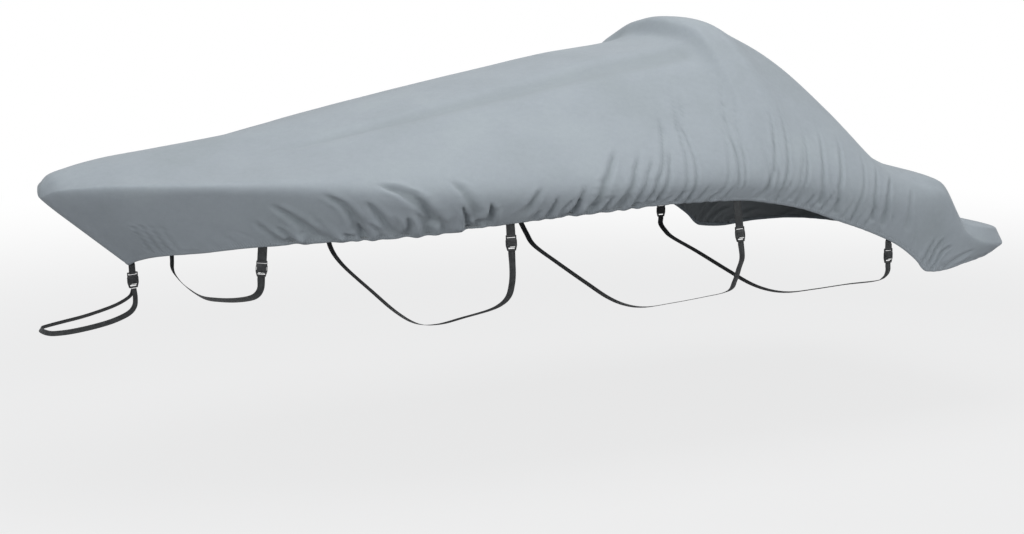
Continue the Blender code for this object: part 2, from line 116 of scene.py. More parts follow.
# How soft the turn of the cloth is along two of those lines, 0 sharp to 1 full.
# Columns: station, softness.
GUNWALE_SOFT = ((0, 0.5), (1, 0.35), (3, 0.25), (4, 0.45), (5, 0.9), (6, 1.15), (9, 1.2), (13, 1.0),
                (16, 0.7), (17, 0.25), (22, 0.25))
SHOULDER_SOFT = ((0, 0.6), (3, 0.8), (6, 0.8), (8.5, 0.9), (9.2, 0.8), (10, 1.4), (12, 1.2),
                 (16, 0.6), (17, 0.4), (22, 0.4))
CROWN_SOFT = 0.27
# How far the wall bellies out above the hem, which the elastic pulls back in. The bulge ends at
# BELLY_GIRTH, and BELLY_FULL brings its curve to 1 where it is widest. Columns: station, bulge.
BELLY = ((0, 0.0), (2.5, 0.0), (4.5, 0.028), (6, 0.034), (8, 0.018), (10, 0.013), (13, 0.012),
         (15, 0.006), (16.5, 0.0), (22, 0.0))
BELLY_GIRTH = 0.50
BELLY_FULL = 6.75
GUNWALE_GIRTH = 0.34
SHOULDER_GIRTH = 0.70
GUNWALE_TURN = 0.36
SHOULDER_TURN = 0.30

# Creases. Girth runs from 0 at the hem to 1 at the crown.
# Columns: (station, girth) points from the top to the foot, half width, depth, raised lip.
CREASES = (
    (((1.33, 0.19), (1.16, 0.11), (0.98, 0.03)), 0.008, 0.009, 0.4),
    (((1.50, 0.18), (1.34, 0.10), (1.18, 0.03)), 0.009, 0.010, 0.4),
    (((1.68, 0.17), (1.53, 0.10), (1.38, 0.03)), 0.009, 0.007, 0.4),
    (((1.88, 0.17), (1.74, 0.10), (1.60, 0.03)), 0.009, 0.005, 0.4),
    (((3.20, 0.15), (3.26, 0.08), (3.38, 0.02), (3.56, -0.01)), 0.022, 0.022, 0.35),
    (((3.50, 0.24), (3.66, 0.16), (3.82, 0.07), (3.95, -0.01)), 0.024, 0.022, 0.30),
    (((4.10, 0.29), (4.28, 0.22), (4.38, 0.12), (4.42, 0.02)), 0.022, 0.024, 0.35),
    (((4.30, 0.17), (4.32, 0.10), (4.30, 0.03)), 0.018, 0.014, 0.25),
    (((4.53, 0.24), (4.62, 0.15), (4.75, 0.01)), 0.020, 0.020, 0.35),
    (((4.72, 0.34), (4.92, 0.29), (5.08, 0.20), (5.16, 0.08)), 0.024, 0.024, 0.35),
    (((4.95, 0.31), (5.06, 0.26), (5.14, 0.13), (5.16, 0.02)), 0.016, 0.012, 0.25),
    (((4.93, 0.14), (4.93, 0.07), (4.90, 0.00)), 0.020, 0.024, 0.30),
    (((5.43, 0.34), (5.50, 0.27), (5.55, 0.13), (5.56, 0.01)), 0.026, 0.016, 0.30),
    (((5.76, 0.15), (5.70, 0.08), (5.58, 0.00)), 0.026, 0.024, 0.30),
    (((6.26, 0.26), (6.13, 0.16), (5.97, 0.02)), 0.020, 0.020, 0.35),
    (((6.70, 0.25), (6.60, 0.12), (6.50, 0.01)), 0.020, 0.018, 0.35),
    (((6.98, 0.17), (6.86, 0.09), (6.72, 0.01)), 0.016, 0.012, 0.25),
    (((7.33, 0.43), (7.12, 0.35), (6.92, 0.24), (6.76, 0.05)), 0.018, 0.018, 0.35),
    (((7.62, 0.42), (7.36, 0.30), (7.20, 0.16), (7.06, 0.02)), 0.016, 0.017, 0.30),
    (((7.78, 0.40), (7.50, 0.27), (7.36, 0.13), (7.30, 0.01)), 0.013, 0.013, 0.30),
    (((8.05, 0.42), (7.84, 0.30), (7.66, 0.12), (7.60, 0.01)), 0.014, 0.013, 0.30),
    (((8.32, 0.60), (7.96, 0.42), (7.60, 0.22), (7.46, 0.02)), 0.011, 0.013, 0.35),
    (((8.56, 0.66), (8.24, 0.46), (8.06, 0.26), (7.94, 0.03)), 0.009, 0.010, 0.35),
    (((8.64, 0.64), (8.30, 0.46), (8.16, 0.20), (8.10, 0.00)), 0.010, 0.012, 0.35),
    (((8.83, 0.52), (8.66, 0.28), (8.53, 0.04)), 0.010, 0.007, 0.30),
    (((9.16, 0.64), (8.86, 0.47), (8.80, 0.22), (8.80, 0.02)), 0.010, 0.013, 0.35),
    (((9.28, 0.59), (9.00, 0.44), (8.90, 0.22), (8.92, 0.04)), 0.009, 0.009, 0.30),
    (((9.50, 0.42), (9.54, 0.24), (9.60, 0.04)), 0.011, 0.009, 0.30),
    (((9.98, 0.47), (9.84, 0.28), (9.80, 0.05)), 0.010, 0.007, 0.30),
    (((10.26, 0.54), (9.86, 0.36), (9.56, 0.18), (9.42, 0.03)), 0.010, 0.012, 0.35),
    (((10.68, 0.56), (10.28, 0.36), (10.02, 0.17), (9.94, 0.03)), 0.010, 0.012, 0.35),
    (((11.00, 0.44), (10.60, 0.26), (10.40, 0.06)), 0.010, 0.008, 0.30),
    (((10.30, 0.24), (10.14, 0.13), (10.06, 0.01)), 0.012, 0.009, 0.30),
    (((11.22, 0.50), (10.88, 0.33), (10.64, 0.15), (10.58, 0.03)), 0.011, 0.010, 0.35),
    (((11.82, 0.52), (11.45, 0.36), (11.30, 0.24), (11.36, 0.08)), 0.013, 0.011, 0.35),
    (((12.42, 0.52), (12.05, 0.36), (11.84, 0.22), (11.92, 0.05)), 0.013, 0.012, 0.35),
    (((13.03, 0.50), (12.74, 0.32), (12.54, 0.14), (12.50, 0.03)), 0.011, 0.009, 0.35),
    (((13.40, 0.45), (13.14, 0.32), (13.03, 0.22), (13.10, 0.08)), 0.012, 0.011, 0.35),
    (((13.88, 0.44), (13.58, 0.33), (13.44, 0.24), (13.42, 0.08)), 0.014, 0.013, 0.35),
    (((14.60, 0.42), (14.34, 0.28), (14.24, 0.12)), 0.016, 0.007, 0.30),
    (((16.02, 0.18), (15.70, 0.08), (15.52, -0.01)), 0.012, 0.012, 0.60),
    (((16.42, 0.20), (16.08, 0.10), (15.86, 0.00)), 0.012, 0.013, 0.60),
    (((16.78, 0.21), (16.45, 0.11), (16.22, 0.00)), 0.012, 0.012, 0.60),
    (((17.70, 0.24), (17.35, 0.14), (17.00, 0.02)), 0.016, 0.008, 0.40),
    (((18.80, 0.30), (18.60, 0.16), (18.50, 0.02)), 0.018, 0.008, 0.35),
    (((20.40, 0.30), (20.45, 0.16), (20.40, 0.02)), 0.020, 0.008, 0.35),
    (((21.40, 0.28), (21.36, 0.14), (21.30, 0.02)), 0.020, 0.008, 0.35),
    (((3.90, 0.68), (5.30, 0.70), (6.90, 0.72), (8.80, 0.745)), 0.060, 0.014, 0.20),
)
# The far side creases at other places than the near side: shift in stations, share of the depth.
STARBOARD_SHIFT = 0.24
STARBOARD_DEPTH = 0.85

# Short puckers that rise from the elastic hem.
# Columns: station, spacing along the hem, height in girth, depth, lean in stations per girth.
PUCKERS = (
    (0.6, 0.120, 0.05, 0.002, 2.5), (2.4, 0.110, 0.05, 0.003, 0.5), (3.1, 0.080, 0.10, 0.008, -2.0),
    (4.3, 0.085, 0.13, 0.020, -1.1), (5.4, 0.095, 0.15, 0.024, -0.4), (6.2, 0.090, 0.14, 0.022, 0.8),
    (7.5, 0.070, 0.12, 0.015, 1.4), (9.0, 0.060, 0.14, 0.010, 0.7), (11.0, 0.056, 0.15, 0.009, 1.4),
    (14.0, 0.050, 0.14, 0.007, 1.5), (15.5, 0.050, 0.10, 0.004, 2.5), (17.0, 0.070, 0.10, 0.004, 2.5),
    (22.0, 0.080, 0.10, 0.004, 0.0),
)
PUCKER_SEED = 7
# Loose cloth between the creases. Columns: lumps per metre, height.
SLACK = ((3.1, 0.0030), (8.3, 0.0012))
# The hem: share of every fold that the elastic leaves at the edge, the height at which the folds
# are full, the radius of the turned edge, the height of the casing that is sewn over the elastic,
# how far it bulges, the depth and width of its seam, and how far the cloth reaches back inside.
HEM_LOOSE = 0.22
HEM_HELD = 0.055
HEM_TURN = 0.0022
HEM_CASING = 0.024
HEM_BULGE = 0.0016
SEAM_SUNK = 0.0010
SEAM_WIDE = 0.003
HEM_UNDER = 0.020
# How far round a strap the cloth is held flat.
CALM_RADIUS = 0.10

# Straps under the hull. Columns: name, station at the hem, length of the webbing above the
# buckle; then, from the foot of the buckle to the keel, rows of out, up and shift aft.
STRAPS = (
    ("1", 3.07, 0.075, ((0.500, 0.965, 0.000), (0.478, 0.930, -0.010), (0.420, 0.905, -0.022),
                        (0.300, 0.880, -0.040), (0.160, 0.862, -0.055), (0.000, 0.850, -0.062))),
    ("2", 5.92, 0.062, ((0.956, 1.000, 0.000), (0.946, 0.935, 0.000), (0.916, 0.880, 0.002),
                        (0.850, 0.832, 0.004), (0.730, 0.782, 0.006), (0.480, 0.706, 0.008),
                        (0.220, 0.630, 0.010), (0.000, 0.600, 0.010))),
    ("3", 8.96, 0.140, ((1.090, 0.985, 0.010), (1.052, 0.925, 0.020), (1.000, 0.850, 0.034),
                        (0.930, 0.785, 0.044), (0.700, 0.718, 0.048), (0.400, 0.640, 0.050),
                        (0.180, 0.588, 0.050), (0.000, 0.572, 0.050))),
    ("4", 13.72, 0.045, ((1.045, 0.822, 0.000), (1.012, 0.786, 0.008), (0.940, 0.752, 0.012),
                         (0.700, 0.700, 0.014), (0.400, 0.628, 0.016), (0.180, 0.580, 0.016),
                         (0.000, 0.566, 0.016))),
)

# Columns and rows of the cloth's mesh. The rows are closer together below LOW_GIRTH.
HEM_COLUMNS = 455
LOW_ROWS = 62
HIGH_ROWS = 34
LOW_GIRTH = 0.46


def placed(points):
    """Move points of the tables to the frame of the part."""
    return np.asarray(points, float) - np.array([CROWN_AFT, 0.0, CROWN_UP])


def line_points(table, stations):
    """Read a line table at any stations, smoothly and without overshoot."""
    rows = np.array(table, float)
    knots = rows[:, 0]
    points = rows[:, 1:]
    mirror = np.array([1.0, -1.0, 1.0])
    knots = np.concatenate([[2 * knots[0] - knots[1]], knots, [2 * knots[-1] - knots[-2]]])
    points = np.vstack([points[1] * mirror, points, points[-2] * mirror])
    span = np.diff(knots)[:, None]
    slope = np.diff(points, axis=0) / span
    before, after = slope[:-1], slope[1:]
    weight_a = 2 * span[1:] + span[:-1]
    weight_b = span[1:] + 2 * span[:-1]
    same_way = before * after > 0
    safe_a = np.where(same_way, before, 1.0)
    safe_b = np.where(same_way, after, 1.0)
    inner = np.where(same_way, (weight_a + weight_b) / (weight_a / safe_a + weight_b / safe_b), 0.0)
    plain = (span[1:] * before + span[:-1] * after) / (span[1:] + span[:-1])
    inner[0] = plain[0]
    inner[-1] = plain[-1]
    tangent = np.vstack([slope[:1], inner, slope[-1:]])
    left = np.clip(np.searchsorted(knots, stations, side="right") - 1, 0, len(knots) - 2)
    width = (knots[left + 1] - knots[left])[:, None]
    t = (stations - knots[left])[:, None] / width
    return ((2 * t**3 - 3 * t**2 + 1) * points[left] + (t**3 - 2 * t**2 + t) * width * tangent[left]
            + (3 * t**2 - 2 * t**3) * points[left + 1] + (t**3 - t**2) * width * tangent[left + 1])


def soft_turn(girth, corner, width):
    """A ramp that starts at the corner, rounded over the width."""
    offset = girth - corner
    rounded = (offset + width / 2) ** 2 / (2 * width)
    return np.where(offset <= -width / 2, 0.0, np.where(offset >= width / 2, offset, rounded))


def taut_cover(stations, girths, side):
    """Points of the unfolded cover on one side, -1 port or 1 starboard."""
    hem, gunwale, shoulder, crown = (
        line_points(table, stations)
        for table in (HEM_LINE, GUNWALE_LINE, SHOULDER_LINE, CROWN_LINE))
    low = (gunwale - hem) / GUNWALE_GIRTH
    middle = (shoulder - gunwale) / (SHOULDER_GIRTH - GUNWALE_GIRTH)
    top = (crown - shoulder) / (1 - SHOULDER_GIRTH)
    over = top * np.array([-1.0, 1.0, -1.0])
    gunwale_width = GUNWALE_TURN * np.interp(stations, *np.array(GUNWALE_SOFT).T)
    shoulder_width = SHOULDER_TURN * np.interp(stations, *np.array(SHOULDER_SOFT).T)
    found = (hem + low * girths[:, None]
             + (middle - low) * soft_turn(girths, GUNWALE_GIRTH, gunwale_width)[:, None]
             + (top - middle) * soft_turn(girths, SHOULDER_GIRTH, shoulder_width)[:, None]
             + (over - top) * soft_turn(girths, 1.0, CROWN_SOFT)[:, None])
    share = np.clip(girths / BELLY_GIRTH, 0, 1)
    found[:, 1] += np.interp(stations, *np.array(BELLY).T) * BELLY_FULL * share * (1 - share) ** 2
    found[:, 1] *= side
    return found


def cover_normals(stations, girths, side):
    """Directions out of the taut cover, and up along it."""
    small = 1e-3
    along = (taut_cover(np.minimum(stations + small, STERN), girths, side)
             - taut_cover(np.maximum(stations - small, 0), girths, side))
    up = (taut_cover(stations, np.minimum(girths + small, 1), side)
          - taut_cover(stations, np.maximum(girths - small, 0), side))
    normal = np.cross(along, up) * -side
    normal /= np.maximum(np.linalg.norm(normal, axis=1), 1e-9)[:, None]
    up /= np.maximum(np.linalg.norm(up, axis=1), 1e-9)[:, None]
    return normal, up


def crease_relief(points, normals, path, half_width, depth, lip):
    """Height that one crease gives the points near it: a trough between two raised lips."""
    reach = 4.5 * half_width
    near = np.all((points > path.min(axis=0) - reach) & (points < path.max(axis=0) + reach), axis=1)
    spot = points[near]
    nearest = np.full(len(spot), 1e9)
    across = np.zeros(len(spot))
    along = np.zeros(len(spot))
    spans = len(path) - 1
    for step in range(spans):
        run = path[step + 1] - path[step]
        share = np.clip((spot - path[step]) @ run / (run @ run), 0, 1)
        away = spot - path[step] - share[:, None] * run
        gap = np.linalg.norm(away, axis=1)
        sideways = np.cross(normals[near], run / np.linalg.norm(run))
        closer = gap < nearest
        across = np.where(closer, np.sum(away * sideways, axis=1), across)
        along = np.where(closer, (step + share) / spans, along)
        nearest = np.minimum(gap, nearest)
    width = half_width * (0.55 + 0.95 * along ** 1.5)
    x = across / width
    beyond = np.maximum(nearest ** 2 - across ** 2, 0) / half_width ** 2
    fade = np.clip(along * 4.5, 0, 1) ** 1.3 * np.exp(-beyond)
    lips = lip * (np.exp(-(x - 1.8) ** 2) + np.exp(-(x + 1.8) ** 2))
    relief = np.zeros(len(points))
    relief[near] = depth * (0.75 + 0.5 * along) * fade * (lips - np.exp(-x ** 2))
    return relief


def sample_path(rows, shift, side):
    """A crease's points, thinned out evenly along its smooth run."""
    rows = np.array(rows, float)
    knots = np.linspace(0, 1, len(rows))
    steps = np.linspace(0, 1, 4 * (len(rows) - 1) + 1)
    return taut_cover(np.interp(steps, knots, rows[:, 0]) + shift,
                      np.interp(steps, knots, rows[:, 1]), side)


def strap_calm(points):
    """1 away from the straps, 0 where a strap holds the cloth flat."""
    calm = np.ones(len(points))
    for _, station, _, _ in STRAPS:
        for side in (-1, 1):
            centre = taut_cover(np.array([station]), np.array([0.02]), side)[0]
            away = np.linalg.norm(points - centre, axis=1)
            calm *= 1 - np.exp(-(away / CALM_RADIUS) ** 4)
    return calm


def pucker_rows(side):
    """Short folds at uneven places along the elastic hem, from the PUCKERS table."""
    table = np.array(PUCKERS)
    fine = np.linspace(0.6, 21.6, 2101)
    hem = line_points(HEM_LINE, fine)
    lengths = np.concatenate([[0], np.cumsum(np.linalg.norm(np.diff(hem, axis=0), axis=1))])
    chance = np.random.default_rng(PUCKER_SEED + side)
    place = 0.03
    found = []
    while place < lengths[-1]:
        station = np.interp(place, lengths, fine)
        spacing, height, depth, lean = (np.interp(station, table[:, 0], table[:, k])
                                        for k in (1, 2, 3, 4))
        height *= chance.uniform(0.45, 1.5)
        depth *= chance.uniform(0.4, 1.35)
        top = (station + lean * height * chance.uniform(0.6, 1.3), height)
        middle = (station + lean * height * 0.35, height * 0.45)
        found.append(((top, middle, (station, -0.02)), spacing * chance.uniform(0.15, 0.26), depth, 0.45))
        place += spacing * chance.uniform(0.65, 1.4)
    return found


def cover_side(stations, girths, side):
    """Points, relief and hem height of the folded cover on one side, in rows of stations."""
    columns, rows = len(stations), len(girths)
    all_stations = np.repeat(stations, rows)
    all_girths = np.tile(girths, columns)
    points = taut_cover(all_stations, all_girths, side)
    normals, up = cover_normals(all_stations, all_girths, side)
    shift, share = (0.0, 1.0) if side < 0 else (STARBOARD_SHIFT, STARBOARD_DEPTH)
    relief = np.zeros(len(points))
    for path, half_width, depth, lip in CREASES:
        relief += share * crease_relief(points, normals, sample_path(path, shift, side),
                                        half_width, depth, lip)
    for path, half_width, depth, lip in pucker_rows(side):
        relief += crease_relief(points, normals, sample_path(path, 0.0, side), half_width, depth, lip)
    slack = np.array([sum(noise.noise(Vector(point) * lumps) * high for lumps, high in SLACK)
                      for point in points])
    looser = np.interp(all_girths, (0, 0.34, 0.5, 1.0), (1.0, 0.8, 0.7, 0.35))
    ends = np.clip(all_stations / 0.8, 0, 1) * np.clip(STERN - all_stations, 0, 1)
    middle = np.clip((1 - all_girths) / 0.1, 0, 1)
    lengths = np.linalg.norm(np.diff(points.reshape(columns, rows, 3), axis=1), axis=2)
    height = np.concatenate([np.zeros((columns, 1)), np.cumsum(lengths, axis=1)], axis=1).ravel()
    elastic = np.clip(HEM_LOOSE + height / HEM_HELD, 0, 1)
    relief = (relief + slack * looser) * ends * middle * elastic * strap_calm(points)
    casing = np.clip(height / HEM_CASING, 0, 1)
    lifted = relief + HEM_BULGE * np.sin(np.pi * casing) * (height < HEM_CASING)
    lifted -= SEAM_SUNK * np.exp(-((height - HEM_CASING) / SEAM_WIDE) ** 2)
    shaped = points + normals * lifted[:, None]
    return (shaped.reshape(columns, rows, 3), normals.reshape(columns, rows, 3),
            up.reshape(columns, rows, 3), relief.reshape(columns, rows), height.reshape(columns, rows))


def even_stations(count):
    """Stations at even steps of the longest way round the cover."""
    fine = np.linspace(0, STERN, 4401)
    steps = np.zeros(len(fine) - 1)
    for table, weight in ((HEM_LINE, 1.0), (GUNWALE_LINE, 0.5), (CROWN_LINE, 0.7)):
        steps += weight * np.linalg.norm(np.diff(line_points(table, fine), axis=0), axis=1)
    lengths = np.concatenate([[0], np.cumsum(steps)])
    return np.interp(np.linspace(0, lengths[-1], count), lengths, fine)


stations = even_stations(HEM_COLUMNS)
girths = np.concatenate([np.linspace(0, LOW_GIRTH, LOW_ROWS),
                         np.linspace(LOW_GIRTH, 1, HIGH_ROWS + 1)[1:]])
hem_lengths = np.concatenate(
    [[0], np.cumsum(np.linalg.norm(np.diff(line_points(HEM_LINE, stations), axis=0), axis=1))])

cover_mesh = bmesh.new()
uv_layer = cover_mesh.loops.layers.uv.new("cloth")
relief_layer = cover_mesh.verts.layers.float.new("relief")
mesh_uv = {}


def cover_column(number, side, data):
    """One column of vertices from inside the hem, round its edge, and up to the crown."""
    shaped, normals, up, relief, height = data
    edge = shaped[number, 0]
    out = normals[number, 0]
    rise = up[number, 0]
    centre = edge - out * HEM_TURN
    rows = [(centre - out * HEM_TURN + rise * lift, -0.004 - lift) for lift in (HEM_UNDER, 0.5 * HEM_UNDER)]
    rows += [(centre + out * HEM_TURN * math.cos(turn) - rise * HEM_TURN * math.sin(turn), -0.001 * turn)
             for turn in (math.pi, 0.7 * math.pi, 0.35 * math.pi)]
    rows += [(shaped[number, k], height[number, k]) for k in range(shaped.shape[1])]
    made = []
    for k, (point, lift) in enumerate(rows):
        vert = cover_mesh.verts.new(placed(point))
        vert[relief_layer] = relief[number, max(k - 5, 0)]
        mesh_uv[vert] = (side * hem_lengths[number], lift)
        made.append(vert)
    return made


sides = {side: cover_side(stations, girths, side) for side in (-1, 1)}
columns = {side: [cover_column(number, side, sides[side]) for number in range(len(stations))]
           for side in (-1, 1)}
for side in (-1, 1):
    for left, right in zip(columns[side], columns[side][1:]):
        for k in range(len(left) - 1):
            corners = (left[k], right[k], right[k + 1], left[k + 1])
            cover_mesh.faces.new(corners if side > 0 else corners[::-1])
for face in cover_mesh.faces:
    for loop in face.loops:
        loop[uv_layer].uv = mesh_uv[loop.vert]
bmesh.ops.remove_doubles(cover_mesh, verts=cover_mesh.verts, dist=0.0002)
cover_mesh.normal_update()
if max(cover_mesh.faces, key=lambda face: face.calc_center_median().z).normal.z < 0:
    bmesh.ops.reverse_faces(cover_mesh, faces=cover_mesh.faces)


def finished_mesh(name, shape, sharp=None):
    """A smooth mesh from a bmesh, sharp where its faces turn by more than so many degrees."""
    data = bpy.data.meshes.new(name)
    shape.to_mesh(data)
    shape.free()
    data.shade_smooth()
    if sharp is not None:
        data.set_sharp_from_angle(angle=math.radians(sharp))
    return data


cover_data = finished_mesh("cloth_cover", cover_mesh)
cover = add_object("cloth_cover", cover_data)


def new_group(name, inputs, outputs):
    """An empty shader group. Columns of inputs: name, value. Columns of outputs: name, kind."""
    made = bpy.data.node_groups.new(name, 'ShaderNodeTree')
    for socket, value in inputs:
        kind = 'NodeSocketVector' if value is None else 'NodeSocketFloat'
        added = made.interface.new_socket(name=socket, in_out='INPUT', socket_type=kind)
        if value is not None:
            added.default_value = value
    for socket, kind in outputs:
        made.interface.new_socket(name=socket, in_out='OUTPUT', socket_type=kind)
    return made, made.nodes.new('NodeGroupInput'), made.nodes.new('NodeGroupOutput')


def maths(tree, operation, first, second=None):
    """One math node, fed by sockets or numbers."""
    node = tree.nodes.new('ShaderNodeMath')
    node.operation = operation
    for socket, value in zip(node.inputs, (first, second)):
        if value is None:
            continue
        if isinstance(value, (int, float)):
            socket.default_value = value
        else:
            tree.links.new(value, socket)
    return node.outputs[0]


def noise_mask(tree, place, scale, detail=2.0, rough=0.5):
    """A noise texture's value at the places that a socket gives."""
    node = tree.nodes.new('ShaderNodeTexNoise')
    node.inputs["Scale"].default_value = scale
    node.inputs["Detail"].default_value = detail
    node.inputs["Roughness"].default_value = rough
    tree.links.new(place, node.inputs["Vector"])
    return node.outputs["Fac"]


# Plain weave: threads over and under each other along both ways of a cloth's own coordinates.
weave, weave_in, weave_out = new_group(
    "plain weave", (("Cloth", None), ("Across Pitch", 0.0012), ("Along Pitch", 0.0012)),
    (("Height", 'NodeSocketFloat'), ("Slub", 'NodeSocketFloat')))
split = weave.nodes.new('ShaderNodeSeparateXYZ')
weave.links.new(weave_in.outputs["Cloth"], split.inputs[0])
across_turns = maths(weave, 'DIVIDE', split.outputs["X"], weave_in.outputs["Across Pitch"])
along_turns = maths(weave, 'DIVIDE', split.outputs["Y"], weave_in.outputs["Along Pitch"])
across_wave = maths(weave, 'SINE', maths(weave, 'MULTIPLY', across_turns, math.tau))
along_wave = maths(weave, 'SINE', maths(weave, 'MULTIPLY', along_turns, math.tau))
checker = maths(weave, 'MULTIPLY', across_wave, along_wave)
weave.links.new(maths(weave, 'MULTIPLY_ADD', checker, 0.5), weave_out.inputs["Height"])
stretched = weave.nodes.new('ShaderNodeMapping')
stretched.inputs["Scale"].default_value = (900, 60, 1)
weave.links.new(weave_in.outputs["Cloth"], stretched.inputs["Vector"])
weave.links.new(noise_mask(weave, stretched.outputs[0], 1.0), weave_out.inputs["Slub"])


def new_material(name, roughness, metallic=0.0):
    """A material with its Principled shader's own constants set."""
    made = bpy.data.materials.new(name)
    made.use_nodes = True
    shader = made.node_tree.nodes["Principled BSDF"]
    shader.inputs["Roughness"].default_value = roughness
    shader.inputs["Metallic"].default_value = metallic
    return made, made.node_tree, shader


def ramp(tree, factor, stops):
    """A colour ramp. Columns of stops: place, colour."""
    node = tree.nodes.new('ShaderNodeValToRGB')
    while len(node.color_ramp.elements) > len(stops):
        node.color_ramp.elements.remove(node.color_ramp.elements[-1])
    while len(node.color_ramp.elements) < len(stops):
        node.color_ramp.elements.new(1.0)
    for element, (place, colour) in zip(node.color_ramp.elements, stops):
        element.position = place
        element.color = (*colour, 1.0)
    tree.links.new(factor, node.inputs["Fac"])
    return node.outputs["Color"]


def mix(tree, kind, amount, first, second):
    """One colour mix node. The amount is a number or a socket."""
    node = tree.nodes.new('ShaderNodeMix')
    node.data_type = 'RGBA'
    node.blend_type = kind
    if isinstance(amount, (int, float)):
        node.inputs[0].default_value = amount
    else:
        tree.links.new(amount, node.inputs[0])
    for socket, value in ((node.inputs[6], first), (node.inputs[7], second)):
        if isinstance(value, tuple):
            socket.default_value = (*value, 1.0)
        else:
            tree.links.new(value, socket)
    return node.outputs[2]


def bump(tree, height, strength, distance, under=None):
    """A bump node's normal, laid over another normal where one is given."""
    node = tree.nodes.new('ShaderNodeBump')
    node.inputs["Strength"].default_value = strength
    node.inputs["Distance"].default_value = distance
    tree.links.new(height, node.inputs["Height"])
    if under is not None:
        tree.links.new(under, node.inputs["Normal"])
    return node.outputs["Normal"]


CLOTH_COLOUR = (0.342, 0.380, 0.412)
CLOTH_DEEP = (0.318, 0.357, 0.382)
CLOTH_PALE = (0.365, 0.408, 0.434)
# Painted shade: the darker grey that is laid into the troughs of the creases.
CLOTH_CREASE_SHADE = (0.250, 0.285, 0.298)
CLOTH_LINING = (0.30, 0.32, 0.33)
CLOTH_PITCH = 0.0011
RUFFLE_PITCH = 0.013
RUFFLE_TALL = 0.050

cloth_paint, cloth_tree, cloth_shader = new_material("coated polyester", 0.72)
cloth_shader.inputs["Sheen Weight"].default_value = 0.12
cloth_shader.inputs["Sheen Roughness"].default_value = 0.45
cloth_shader.inputs["Specular IOR Level"].default_value = 0.32
cloth_uv = cloth_tree.nodes.new('ShaderNodeUVMap')
cloth_uv.uv_map = "cloth"
cloth_weave = cloth_tree.nodes.new('ShaderNodeGroup')
cloth_weave.node_tree = weave
cloth_weave.inputs["Across Pitch"].default_value = CLOTH_PITCH
cloth_weave.inputs["Along Pitch"].default_value = CLOTH_PITCH
cloth_tree.links.new(cloth_uv.outputs[0], cloth_weave.inputs["Cloth"])
cloth_place = cloth_tree.nodes.new('ShaderNodeTexCoord').outputs["Object"]
patches = noise_mask(cloth_tree, cloth_place, 2.3, 5.0, 0.6)
mottle = noise_mask(cloth_tree, cloth_place, 34, 3.0)
cloth_base = ramp(cloth_tree, patches, ((0.30, CLOTH_DEEP), (0.50, CLOTH_COLOUR), (0.72, CLOTH_PALE)))
mottle_shade = ramp(cloth_tree, mottle, ((0.3, (0.86, 0.87, 0.88)), (0.7, (1, 1, 1))))
cloth_mottled = mix(cloth_tree, 'MULTIPLY', 0.35, cloth_base, mottle_shade)
slub_shade = ramp(cloth_tree, cloth_weave.outputs["Slub"], ((0.35, (0.80, 0.81, 0.82)), (0.6, (1, 1, 1))))
cloth_threads = mix(cloth_tree, 'MULTIPLY', 0.30, cloth_mottled, slub_shade)
# Painted shade: the cloth's colour is darkened where its relief sinks in, in the troughs of creases,
# puckers and slack, as if shade fell there.
relief_at = cloth_tree.nodes.new('ShaderNodeAttribute')
relief_at.attribute_name = "relief"
crease_shade_mask = maths(cloth_tree, 'MULTIPLY', relief_at.outputs["Fac"], -90.0)
crease_shade_mask = maths(cloth_tree, 'MINIMUM', maths(cloth_tree, 'MAXIMUM', crease_shade_mask, 0.0), 1.0)
cloth_crease_shaded = mix(cloth_tree, 'MIX', maths(cloth_tree, 'MULTIPLY', crease_shade_mask, 0.35),
                  cloth_threads, CLOTH_CREASE_SHADE)
lining = cloth_tree.nodes.new('ShaderNodeNewGeometry')
cloth_faced = mix(cloth_tree, 'MIX', lining.outputs["Backfacing"], cloth_crease_shaded, CLOTH_LINING)
cloth_tree.links.new(cloth_faced, cloth_shader.inputs["Base Color"])
cloth_rough = maths(cloth_tree, 'MULTIPLY_ADD', patches, 0.22)
cloth_rough.node.inputs[2].default_value = 0.62
cloth_tree.links.new(cloth_rough, cloth_shader.inputs["Roughness"])

# Gathers of the hem casing: fine ruffles over the elastic, fading out above it.
cloth_axes = cloth_tree.nodes.new('ShaderNodeSeparateXYZ')
cloth_tree.links.new(cloth_uv.outputs[0], cloth_axes.inputs[0])
wander = maths(cloth_tree, 'MULTIPLY', mottle, 5.0)
ruffle_turns = maths(cloth_tree, 'MULTIPLY', cloth_axes.outputs["X"], math.tau / RUFFLE_PITCH)
ruffle = maths(cloth_tree, 'SINE', maths(cloth_tree, 'ADD', ruffle_turns, wander))
ruffle_fade = cloth_tree.nodes.new('ShaderNodeMapRange')
ruffle_fade.inputs["From Min"].default_value = RUFFLE_TALL
ruffle_fade.inputs["From Max"].default_value = 0.004
cloth_tree.links.new(cloth_axes.outputs["Y"], ruffle_fade.inputs["Value"])
ruffles = maths(cloth_tree, 'MULTIPLY', ruffle, ruffle_fade.outputs[0])
crumple = noise_mask(cloth_tree, cloth_place, 16, 6.0, 0.55)
ruffled = bump(cloth_tree, ruffles, 0.8, 0.0014)
crumpled = bump(cloth_tree, crumple, 0.35, 0.004, ruffled)
woven = bump(cloth_tree, cloth_weave.outputs["Height"], 0.35, 0.0002, crumpled)
cloth_tree.links.new(woven, cloth_shader.inputs["Normal"])
cover_data.materials.append(cloth_paint)

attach(cover, "root")
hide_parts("cover")


# Hem stitching: grey polyester thread, one line of lockstitch on each side of the boat. It runs
# along the top of the casing and goes through both layers of the turned hem.
STITCH_LONG = 0.0052
STITCH_STEP = 0.0075
STITCH_RADIUS = 0.00055


